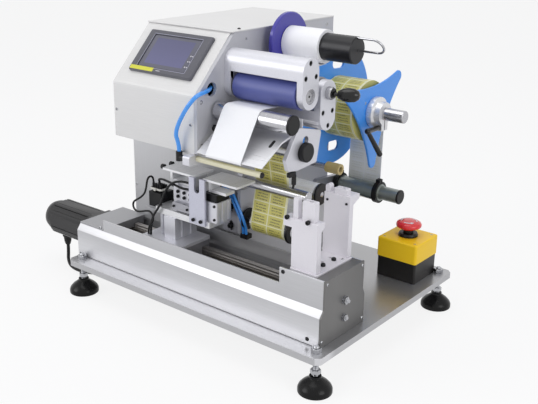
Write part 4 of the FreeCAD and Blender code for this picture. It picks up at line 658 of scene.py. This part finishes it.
def dressed_nodes():
    MAT["screen"] = screen_material()
    dress("base_plate", "plate", 0.8)
    dress("foot_pads", "foot", 0.5)
    dress("channel_shell", "channel", 0.5, angle=20)
    # inside the channel's left end, the cover's faces below its top are painted dark as the shade there; the motor-side
    # end is the same dark grey
    dress("channel_covers", "end_plate", 0.4,
          [("cover", lambda p: p.x < 60 and p.z > 101 and p.x > 6), ("cover", lambda p: p.x < 60 and p.z > 113.4),
           ("dark_cover_and_painted_shade", lambda p: p.x < 60)], angle=20)
    dress("motor_body", "motor", 0.4)
    dress("cable_glands", "rubber", 0.3)
    dress("drive_base", "dark_alloy", 0.4)
    dress("drive_rails", "rail", 0.3, [("dark_alloy", lambda p: p.z < 99.5)])
    dress("ball_screw", "screw_steel", 0.3, [("brushed", lambda p: 7.5 < p.x < 34.5)])
    dress("cable_towers", "tower", 0.4)
    dress("tower_jaws", "tower", 0.4)
    dress("cabinet_head", "coat", 0.7)
    dress("cabinet_lid", "coat", 0.7)
    dress("cabinet_lower", "coat_low", 0.7)
    dress("side_plate", "side", 0.4)
    dress("tube_fittings", "black_plastic", 0.4)
    dress("support_plates", "anodised_grey", 0.4)
    dress("panel_bezel", "bezel", 0.4)
    dress("panel_screen", "screen", 0.2)
    dress("roller_brackets", "anodised", 0.6)
    dress("fixed_shafts", "turned", 0.3,
          [("polished", around(POLISHED_ROD, -1, 8.5, 279, 406)),
           ("black_plastic", around(LOWER_IDLER, -1, 14, 405.3, 420))])
    dress("peel_table", "bright", 0.25)
    dress("peel_side_plate", "anodised", 0.4)
    dress("air_bar", "cream", 0.2, [("anodised", lambda p: p.x < 275.05), ("black_screw", beyond(390.9))])
    dress("stop_box_base", "stop_black", 0.5)
    dress("stop_box_cover", "yellow", 0.5,
          [("stop_black", lambda p: math.hypot(p.x - 454.5, p.y - 319.5) < 15.8 and p.z > 124.82)])
    dress("stop_stem", "stop_black", 0.3)
    dress("stop_button", "red", 0.5)
    dress("station_slider", "anodised_grey", 0.4)
    dress("station_stand", "anodised", 0.4)
    dress("deck_plate", "brushed", 0.5)
    dress("slot_plate", "anodised_lilac", 0.4)
    dress("clamp_cylinders", "anodised", 0.4,
          [("black_plastic", lambda p: p.x > 243 and p.z > 203.01),
           ("turned", lambda p: p.x < 222 and p.z > 214.02),
           ("anodised_grey", lambda p: p.x < 222 and p.y < 75.9)])
    dress("connector_block", "black_plastic", 0.3)
    dress("fold_plate_left", "fold", 0.3, [("black_plastic", lambda p: p.x < 164.0)])
    dress("fold_plate_right", "fold", 0.3)
    dress("drive_roller", "turned", 0.3, [("blue_sleeve", around(DRIVE_ROLLER, 16.1, 21, 295, 404))])
    dress("nip_roller", "turned", 0.3, [("grey_sleeve", around(NIP_ROLLER, 16.1, 21, 295, 404))])
    dress("upper_idler", "polished", 0.3,
          [("black_plastic", beyond(412.3)), ("black_plastic", around(UPPER_IDLER, 11, 14, 283, 283.6))])
    dress("lower_idler", "polished", 0.3)
    dress("front_roller", "polished", 0.3, [("black_plastic", beyond(367.3))])
    dress("rear_roller", "polished", 0.3, [("black_plastic", beyond(367.3))])
    dress("guide_roller", "tube_grey", 0.3,
          [("black_plastic", around(GUIDE_ROLLER, 14.05, 26, 290, 299)),
           ("black_plastic", around(GUIDE_ROLLER, 14.05, 26, 367, 376)),
           ("black_plastic", lambda p: p.x > 404.2)])
    dress("small_roller", "tan", 0.3)
    dress("rewind_mandrel", "black_anodised", 0.4, [("flange_blue", around(REWINDER, 19.6, 45, 291.9, 300.1))])
    dress("liner_roll", "paper_side", 0.2)
    dress("liner_pin", "polished", 0.0, angle=60)
    dress("reel_shaft", "polished", 0.4, [("star_blue", around(REEL, 10.5, 99, 296.8, 300.6))])
    dress("reel_star", "star_blue", 0.5, [("brushed", beyond(373.45))])
    dress("reel_lever", "gloss_black", 0.3)
    dress("nip_lever", "gloss_black", 0.3, [("turned", lambda p: p.x < 424.6 and math.hypot(p.y - 136.9, p.z - 378) < 9.3)])


# Screws, studs and small fittings
HEADS = {
    "cap": ([(-0.3, 1.0), (0.85, 1.0), (1.05, 0.86)], 0.52, 0.55, "black_screw"),
    "button": ([(-0.3, 1.0), (0.12, 1.0), (0.42, 0.82), (0.62, 0.58)], 0.42, 0.3, "black_screw"),
    "bright": ([(-0.3, 1.0), (0.12, 1.0), (0.42, 0.82), (0.62, 0.58)], 0.42, 0.3, "zinc"),
    "flat": ([(-0.3, 1.0), (0.05, 1.0), (0.09, 0.93)], 0.50, 0.3, "zinc"),
}


def screws(name, body, items):
    """One piece with many screw heads; each item is (kind, place, outward axis, head radius)."""
    keys = ["black_screw", "zinc", "hole"]
    bm = bmesh.new()
    for kind, place, axis, r in items:
        profile, socket, depth, key = HEADS[kind]
        ring = [(a * r, b * r) for a, b in profile]
        top = ring[-1][0]
        lathe(bm, ring + [(top, socket * r, "hex")], place, axis, keys.index(key), 24)
        # the hex socket is painted near black as the shade inside the recess
        lathe(bm, [(top, socket * r, "hex"), (top - depth * r, socket * r * 0.96, "hex"), (top - depth * r, 0)],
              place, axis, keys.index("hole"), 24)
        lathe(bm, [(ring[0][0], 0), ring[0]], place, axis, keys.index(key), 24)
    bmesh.ops.remove_doubles(bm, verts=bm.verts, dist=0.0005)
    bmesh.ops.recalc_face_normals(bm, faces=bm.faces)
    return finish_mesh(name, bm, keys, body, (), 0.0, 40.0)


def thread(start, end, r, pitch=1.25):
    """Profile of a threaded rod from start to end along its axis."""
    profile = [(start, 0), (start, r * 0.8), (start + 0.5 * pitch, r)]
    count = int((end - start - pitch) / pitch)
    for k in range(count):
        base = start + (k + 0.5) * pitch
        profile += [(base + 0.5 * pitch, r * 0.86), (base + pitch, r)]
    return profile + [(end, r * 0.8), (end, 0)]


def hex_nut(bm, place, axis, across, height, bore, index):
    """Chamfered hexagonal nut with an open bore."""
    flat = 0.5 * across
    lathe(bm, [(0, bore), (0, flat * 0.97), (height * 0.09, flat, "hex"), (height * 0.91, flat, "hex"),
               (height, flat * 0.97), (height, bore), (0, bore)], place, axis, index, 48)


def foot_hardware():
    """Threaded studs with chamfered nuts."""
    bm = bmesh.new()
    for x, y in STUD_PLACES:
        lathe(bm, thread(16.0, 69.0, 4.0), (x, y, 0), (0, 0, 1), 0, 20)
        for z in (27.5, 43.5, 60.0):
            hex_nut(bm, (x, y, z), (0, 0, 1), 13.0, 6.5, 4.05, 0)
    bmesh.ops.remove_doubles(bm, verts=bm.verts, dist=0.0005)
    bmesh.ops.recalc_face_normals(bm, faces=bm.faces)
    finish_mesh("foot_hardware", bm, ["zinc"], "frame", ("foot_studs",), 0.0, 30.0)


def end_bolts():
    """Two studs with nuts and washers that hold the drive to the channel's end plate."""
    bm = bmesh.new()
    for z, r, reach in ((113.0, 3.0, 8.5), (87.0, 2.6, 7.0)):
        place = (494.0, 80.0, z)
        lathe(bm, [(0, 0), (0, r * 2.0), (0.8, r * 2.0), (0.8, 0)], place, (1, 0, 0), 0, 32)
        hex_nut(bm, (494.8, 80.0, z), (1, 0, 0), r * 3.4, r * 1.5, r * 1.01, 0)
        lathe(bm, thread(0.8, reach, r, 1.0), place, (1, 0, 0), 0, 24)
    bmesh.ops.remove_doubles(bm, verts=bm.verts, dist=0.0005)
    bmesh.ops.recalc_face_normals(bm, faces=bm.faces)
    finish_mesh("end_bolts", bm, ["zinc"], "frame", (), 0.0, 30.0)


def all_screws():
    front, up, right, left = (0, -1, 0), (0, 0, 1), (1, 0, 0), (-1, 0, 0)
    items = [("bright", (115.3, 21.4, 329.0), front, 2.4), ("bright", (267.5, 21.4, 330.0), front, 2.4),
             ("flat", (29.4, 133.5, 164.8), front, 2.6), ("button", (269.0, 121.5, 451.6), up, 2.6),
             ("flat", (279.4, 124.8, 439.0), right, 2.2), ("cap", (279.4, 56.0, 321.0), right, 4.6),
             ("button", (424.3, 33.0, 150.2), front, 3.0), ("bright", (47.8, 33.0, 118.1), front, 2.6),
             ("bright", (3.5, 25.7, 64.9), front, 2.6), ("button", (473.0, 25.7, 68.4), front, 3.0),
             ("cap", (254.5, 121.0, 149.0), front, 4.4), ("cap", (254.5, 121.0, 180.0), front, 4.4),
             ("cap", (457.7, 41.3, 227.0), front, 3.2), ("cap", (423.6, 41.3, 227.0), front, 3.2),
             ("cap", (436.5, 115.0, 235.4), front, 1.7), ("cap", (468.0, 115.0, 235.4), front, 1.7),
             ("cap", (463.0, 71.5, 157.0), up, 3.4), ("cap", (463.0, 97.0, 157.0), up, 3.4),
             ("bright", (471.0, 107.0, 157.0), up, 2.4)]
    for y, z in ((38.2, 150.1), (122.0, 150.1), (29.5, 69.0), (127.5, 67.6)):
        items.append(("bright", (494.0, y, z), right, 2.3))
    for y, z in ((30, 300), (30, 362), (325, 440), (335, 240), (335, 80), (145, 80)):
        items.append(("flat", (279.4, y, z), right, 3.0))
    for y, z in ((94.0, 423.9), (84.0, 404.5), (107.0, 404.5), (138.4, 332.1), (125.9, 351.7), (147.9, 351.7)):
        items.append(("cap", (412.6, y, z), right, 3.3))
    for y in (-22.5, 22.5):
        for z in (-22.5, 22.5):
            items.append(("cap", (-12.0, 80.0 + y, 87.0 + z), left, 2.8))
    for x, y in ((427.5, 292.5), (481.5, 292.5), (427.5, 346.5), (481.5, 346.5)):
        items.append(("flat", (x, y, 124.8), up, 2.0))
    for z in (120, 240):
        for y in (150, 325):
            items.append(("flat", (25.0, y, z), left, 3.0))
    for x in (40, 120, 200, 260):
        for z in (72, 275):
            items.append(("flat", (x, 343.0, z), (0, 1, 0), 2.8))
    screws("frame_screws", "frame", items)
    items = [("cap", (233.7, 59.0, 170.9), front, 2.8), ("cap", (248.7, 59.0, 170.9), front, 2.8),
             ("cap", (152.0, 70.0, 171.5), up, 2.6), ("cap", (152.0, 99.0, 171.5), up, 2.6),
             ("cap", (256.0, 102.5, 171.5), up, 2.2)]
    for x in (247.0, 270.0):
        for z in (177.0, 198.0):
            items.append(("cap", (x, 66.0, z), front, 2.0))
    for x in (186, 214):
        items.append(("cap", (x, 66.0, 179.8), front, 2.0))
    for x in (186, 199, 212):
        for z in (193, 201):
            items.append(("cap", (x, 76.0, z), front, 2.7))
    screws("station_screws", "station", items)
    items = []
    for turn in (25, 145, 265):
        a = math.radians(turn)
        items.append(("flat", (373.4, REEL[0] + 31 * math.cos(a), REEL[1] + 31 * math.sin(a)), right, 2.2))
    screws("star_screws", "reel_star", items)


def roller_ends():
    """Bearing in the upper end plate, centre marks and end discs of the rollers."""
    bm = bmesh.new()
    lathe(bm, [(0.0, 7.3), (0.0, 10.3), (1.0, 10.3), (1.2, 9.6), (0.9, 9.4), (0.9, 8.2), (1.2, 8.0), (1.2, 7.3),
               (0.0, 7.3)], (414.5, DRIVE_ROLLER[0], DRIVE_ROLLER[1]), (1, 0, 0), 0, 40)
    finish_mesh("end_bearing", bm, ["turned"], "frame")
    # the drive and rewind centres are near-black discs painted as the shade of their centre holes
    for name, body, x, roller, r, key, slot in (
            ("drive_centre", "drive_roller", 414.2, DRIVE_ROLLER, 1.6, "hole", "drive_roller"),
            ("rewind_centre", "rewinder", 417.4, REWINDER, 1.5, "hole", "rewind_mandrel"),
            ("front_roller_centre", "front_roller", 371.0, FRONT_ROLLER, 9.0, "turned", "front_roller"),
            ("rear_roller_centre", "rear_roller", 371.0, REAR_ROLLER, 4.0, "turned", "rear_roller")):
        bm = bmesh.new()
        lathe(bm, [(-0.3, 0), (-0.3, r), (0.25, r), (0.45, r - 0.4), (0.45, 0)], (x, roller[0], roller[1]),
              (1, 0, 0), 0, 28)
        finish_mesh(name, bm, [key], body)
    # black flanges at the inner ends, on the cabinet side
    bm = bmesh.new()
    for (y, z, _), r, x in ((FRONT_ROLLER, 17.0, 283.0), (REAR_ROLLER, 17.0, 280.0)):
        lathe(bm, [(0, 5.4), (0, r - 0.8), (0.8, r), (3.2, r), (4.0, r - 0.8), (4.0, 5.4), (0, 5.4)], (x, y, z),
              (1, 0, 0), 0, 40)
    finish_mesh("inner_flanges", bm, ["black_plastic"], "frame")


def wound_roll():
    """Label roll with slightly flattened turns, print showing on its outside."""
    y, z, r = REEL
    bm = bmesh.new()
    layer = bm.loops.layers.uv.new("run")
    steps = 72
    edge = []
    for k in range(steps):
        a = 2 * math.pi * k / steps
        # the labels' stiffness leaves shallow flats along the roll
        flat = 0.35 * abs(math.sin(9 * a + 0.4)) + 0.25 * math.sin(3 * a + 1.0)
        edge.append((math.cos(a), math.sin(a), r - 0.3 - flat))
    rows = []
    for x, shrink in ((WEB_X0, 0.0), (WEB_X1, 0.0)):
        rows.append([bm.verts.new((x, y + c * q, z + d * q)) for c, d, q in edge])
    for k in range(steps):
        n = (k + 1) % steps
        face = bm.faces.new((rows[0][k], rows[1][k], rows[1][n], rows[0][n]))
        face.material_index = 0
        run0, run1 = 2 * math.pi * r * k / steps, 2 * math.pi * r * (k + 1) / steps
        for loop, value in zip(face.loops, ((0, run0), (63.0, run0), (63.0, run1), (0, run1))):
            loop[layer].uv = value
    inner = 19.0
    for x, row in ((WEB_X0, rows[0]), (WEB_X1, rows[1])):
        rim = [bm.verts.new((x, y + c * inner, z + d * inner)) for c, d, _ in edge]
        for k in range(steps):
            n = (k + 1) % steps
            face = bm.faces.new((row[k], row[n], rim[n], rim[k]))
            face.material_index = 1
        rows.append(rim)
    for k in range(steps):
        n = (k + 1) % steps
        face = bm.faces.new((rows[2][k], rows[3][k], rows[3][n], rows[2][n]))
        face.material_index = 2
    bmesh.ops.recalc_face_normals(bm, faces=bm.faces)
    lathe(bm, [(WEB_X0 - 0.5, 10.2), (WEB_X0 - 0.5, 18.9), (WEB_X1 + 2.0, 18.9), (WEB_X1 + 2.0, 10.2),
               (WEB_X0 - 0.5, 10.2)], (0, y, z), (1, 0, 0), 2, 48)
    finish_mesh("wound_labels", bm, ["labels", "roll", "card"], "reel", ("label_roll",), 0.0, 24.0)


def panel_point(u, v, w):
    """Machine place of a point on the sloping panel: across, up the slope, out of it."""
    lean = Matrix.Rotation(PANEL_LEAN, 3, "X")
    return PANEL_PLACE + lean @ Vector((u, v, w))


def panel_details():
    """Bare sticker, pale strips painted round the glass as the highlight on its recess's edge, and the column of small
    icon marks.
    """
    lean = Matrix.Rotation(PANEL_LEAN, 3, "X")
    u, v = lean @ Vector((1, 0, 0)), lean @ Vector((0, 1, 0))
    bm = bmesh.new()
    slab(bm, rounded(23.5, 3.2, 0.9), panel_point(-36.5, -32.1, 5.0), u, v, 0.15, 0)
    # painted highlight: pale strips round the glass's recess stand for the light caught on the recess's edge
    for x, y, half_x, half_y in ((-1.0, 29.5, 48.9, 0.4), (11.5, -29.5, 36.4, 0.4), (-49.5, 0.0, 0.4, 28.6),
                                 (47.5, 0.0, 0.4, 28.6)):
        slab(bm, rounded(half_x, half_y, 0.2), panel_point(x, y, 5.0), u, v, 0.06, 2)
    for x in (40.5, 44.0):
        for k in range(3):
            slab(bm, rounded(0.9, 1.0, 0.3), panel_point(x, -18.5 + 9.5 * k, 3.6), u, v, 0.1, 1)
    slab(bm, rounded(4.0, 0.5, 0.2), panel_point(-3.0, -32.6, 5.0), u, v, 0.1, 1)
    finish_mesh("panel_marks", bm, ["sticker", "mark", "painted_edge_highlight"], "frame", (), 0.0, 40.0)


def button_arrows():
    """Two turning arrows on the red head, pale and a hair proud of it."""
    xc, yc, base = 454.5, 319.5, 136.8
    bm = bmesh.new()
    profile = [(0.0, 13.4), (9.5, 13.1), (14.5, 12.2), (18.6, 10.2)]

    def height(r):
        for (r0, h0), (r1, h1) in zip(profile[:-1], profile[1:]):
            if r <= r1:
                return base + h0 + (h1 - h0) * (r - r0) / (r1 - r0) + 0.12
        return base + profile[-1][1]

    for start in (20, 140, 260):
        rows = []
        for k in range(11):
            a = math.radians(start + 8 * k)
            half = 1.0 if k < 7 else 2.4 * (10 - k) / 3.0 + 0.02
            row = []
            for r in (12.0 - half, 12.0 + half):
                row.append(bm.verts.new((xc + r * math.cos(a), yc + r * math.sin(a), height(r))))
            rows.append(row)
        low = [[bm.verts.new(v.co - Vector((0, 0, 0.5))) for v in row] for row in rows]
        for k in range(10):
            for quad in ((rows[k][0], rows[k][1], rows[k + 1][1], rows[k + 1][0]),
                         (low[k][1], low[k][0], low[k + 1][0], low[k + 1][1]),
                         (low[k][0], rows[k][0], rows[k + 1][0], low[k + 1][0]),
                         (rows[k][1], low[k][1], low[k + 1][1], rows[k + 1][1])):
                bm.faces.new(quad)
        bm.faces.new((low[0][0], low[0][1], rows[0][1], rows[0][0]))
        bm.faces.new((rows[10][0], rows[10][1], low[10][1], low[10][0]))
    bmesh.ops.recalc_face_normals(bm, faces=bm.faces)
    finish_mesh("button_arrows", bm, ["mark"], "stop_button", (), 0.0, 40.0)


def small_fittings():
    """Label edge sensor under the peel plate, fittings of the station's cylinders, cable tie, table mark."""
    bm = bmesh.new()
    slab(bm, rounded(7.5, 3.2, 1.3), (399.0, 77.0, 272.8), (0, 1, 0), (0, 0, 1), 5.0, 0)
    slab(bm, rounded(2.3, 7.5, 1.1), (399.0, 83.0, 264.0), (0, 1, 0), (0, 0, 1), 5.0, 0)
    lathe(bm, [(0, 0), (0, 1.7), (6, 1.7), (6.6, 1.1), (6.6, 0)], (401.5, 83.0, 257.5), (0, -0.3, -0.95), 0, 20)
    bmesh.ops.recalc_face_normals(bm, faces=bm.faces)
    finish_mesh("edge_sensor", bm, ["black_plastic"], "frame", (), 0.3, 40.0)
    bm = bmesh.new()
    for x, y, z, axis, r, length in ((176.0, 84.0, 206.0, (-1, 0, 0), 3.6, 11.0), (176.0, 94.0, 206.0, (-1, 0, 0), 3.6, 11.0)):
        lathe(bm, [(-0.5, 0), (-0.5, r * 0.7), (2, r * 0.7), (2, r), (length - 2, r), (length - 1, r * 0.86),
                   (length, r * 0.86), (length, r * 0.5), (length - 3, r * 0.5), (length - 3, 0)],
              (x, y, z), axis, 0, 28)
    bmesh.ops.recalc_face_normals(bm, faces=bm.faces)
    finish_mesh("station_fittings", bm, ["black_plastic"], "station", (), 0.0, 40.0)
    # nylon tie round the plugs of the connector block
    bm = bmesh.new()
    outer, inner = rounded(13.0, 10.2, 4.0), rounded(12.0, 9.2, 3.4)
    middle = (131.8, 89.0)
    low, high = 190.0, 193.0
    rings = [[bm.verts.new((middle[0] + a, middle[1] + b, z)) for a, b in line]
             for line, z in ((outer, low), (outer, high), (inner, high), (inner, low))]
    count = len(outer)
    for one, two in zip(rings, rings[1:] + rings[:1]):
        for k in range(count):
            n = (k + 1) % count
            bm.faces.new((one[k], one[n], two[n], two[k]))
    slab(bm, rounded(2.2, 2.4, 0.5), (131.8, 78.9, 191.5), (1, 0, 0), (0, 0, 1), 2.2, 0)
    bmesh.ops.recalc_face_normals(bm, faces=bm.faces)
    finish_mesh("cable_tie", bm, ["tie"], "station", (), 0.0, 40.0)
    # oblong adjusting slot of the peel table, a thin near-black slab painted as the shade in the slot
    slope = Vector((0, 57.0 - 15.0, 321.2 - 294.9)).normalized()
    bm = bmesh.new()
    slab(bm, rounded(2.4, 7.0, 2.3), (387.0, 52.0, 318.1), (1, 0, 0), slope, 0.15, 0)
    finish_mesh("table_slot", bm, ["hole"], "frame", (), 0.0, 40.0)


# Setting
def studio():
    scene = bpy.context.scene
    scene.view_settings.view_transform = "Standard"
    world = bpy.data.worlds.new("studio")
    scene.world = world
    world.use_nodes = True
    tree = world.node_tree
    back = tree.nodes["Background"]
    back.inputs["Color"].default_value = (0.93, 0.95, 1.0, 1.0)
    back.inputs["Strength"].default_value = 0.50
    white = tree.nodes.new("ShaderNodeBackground")
    white.inputs["Color"].default_value = (1.0, 1.0, 1.0, 1.0)
    rays = tree.nodes.new("ShaderNodeLightPath")
    first = tree.nodes.new("ShaderNodeMath")
    first.operation = "MAXIMUM"
    second = tree.nodes.new("ShaderNodeMath")
    second.operation = "MAXIMUM"
    mix = tree.nodes.new("ShaderNodeMixShader")
    tree.links.new(rays.outputs["Is Camera Ray"], first.inputs[0])
    tree.links.new(rays.outputs["Is Glossy Ray"], first.inputs[1])
    tree.links.new(first.outputs[0], second.inputs[0])
    tree.links.new(rays.outputs["Is Transmission Ray"], second.inputs[1])
    tree.links.new(second.outputs[0], mix.inputs["Fac"])
    tree.links.new(back.outputs[0], mix.inputs[1])
    tree.links.new(white.outputs[0], mix.inputs[2])
    tree.links.new(mix.outputs[0], tree.nodes["World Output"].inputs["Surface"])

    # soft lamps: a wide one above, a fill from the front left, a low one from the right
    for name, place, target, size, power in (
            ("top", (0.0, -0.3, 2.2), (0.0, 0.0, 0.2), 1.8, 15.0),
            ("front_left", (-1.3, -2.1, 1.2), (0.0, 0.0, 0.25), 1.6, 18.0),
            ("right", (2.2, -0.4, 1.0), (0.1, 0.0, 0.2), 1.2, 10.0)):
        lamp = bpy.data.lights.new(name, "AREA")
        lamp.shape = "DISK"
        lamp.size = size
        lamp.energy = power
        holder = bpy.data.objects.new(name, lamp)
        bpy.context.scene.collection.objects.link(holder)
        holder.location = place
        holder.rotation_euler = (Vector(target) - Vector(place)).to_track_quat("-Z", "Y").to_euler()

    # floor that is white to the eye and keeps a faint shadow
    mesh = bpy.data.meshes.new("floor")
    half = 40.0
    mesh.from_pydata([(-half, -half, -0.0004), (half, -half, -0.0004), (half, half, -0.0004), (-half, half, -0.0004)],
                     [], [(0, 1, 2, 3)])
    floor = bpy.data.objects.new("floor", mesh)
    bpy.context.scene.collection.objects.link(floor)
    g = Graph("floor_white")
    g.shader.inputs["Base Color"].default_value = (0.86, 0.86, 0.87, 1.0)
    g.shader.inputs["Roughness"].default_value = 0.6
    g.shader.inputs["Specular IOR Level"].default_value = 0.2
    glow = g.add("ShaderNodeEmission")
    glow.inputs["Color"].default_value = (1.0, 1.0, 1.0, 1.0)
    path = g.add("ShaderNodeLightPath")
    seen = g.math("MAXIMUM", path.outputs["Is Camera Ray"],
                  g.math("MAXIMUM", path.outputs["Is Glossy Ray"], path.outputs["Is Transmission Ray"]))
    blend = g.add("ShaderNodeMixShader", [(g.math("MULTIPLY", seen, 0.84), "Fac"),
                                          (g.shader.outputs["BSDF"], 1), (glow.outputs["Emission"], 2)])
    g.tree.links.new(blend.outputs["Shader"], g.tree.nodes["Material Output"].inputs["Surface"])
    mesh.materials.append(g.material)


def camera():
    lens = bpy.data.cameras.new("camera")
    lens.sensor_fit = "HORIZONTAL"
    lens.sensor_width = SENSOR
    lens.lens = FOCAL_PIXELS / IMAGE_WIDTH * SENSOR
    lens.shift_x = CENTRE_OFFSET[0] / IMAGE_WIDTH
    lens.shift_y = CENTRE_OFFSET[1] / IMAGE_WIDTH
    lens.clip_start, lens.clip_end = 0.05, 100.0
    holder = bpy.data.objects.new("camera", lens)
    bpy.context.scene.collection.objects.link(holder)
    holder.matrix_world = (Matrix.Translation(at(*CAMERA_PLACE)) @ Matrix.Rotation(math.radians(CAMERA_YAW), 4, "Z")
                           @ Matrix.Rotation(math.radians(90.0 - CAMERA_PITCH), 4, "X")
                           @ Matrix.Rotation(math.radians(CAMERA_ROLL), 4, "Z"))
    bpy.context.scene.camera = holder


studio()
camera()
cords()
webs()
dressed_nodes()
foot_hardware()
end_bolts()
all_screws()
roller_ends()
wound_roll()
panel_details()
button_arrows()
small_fittings()
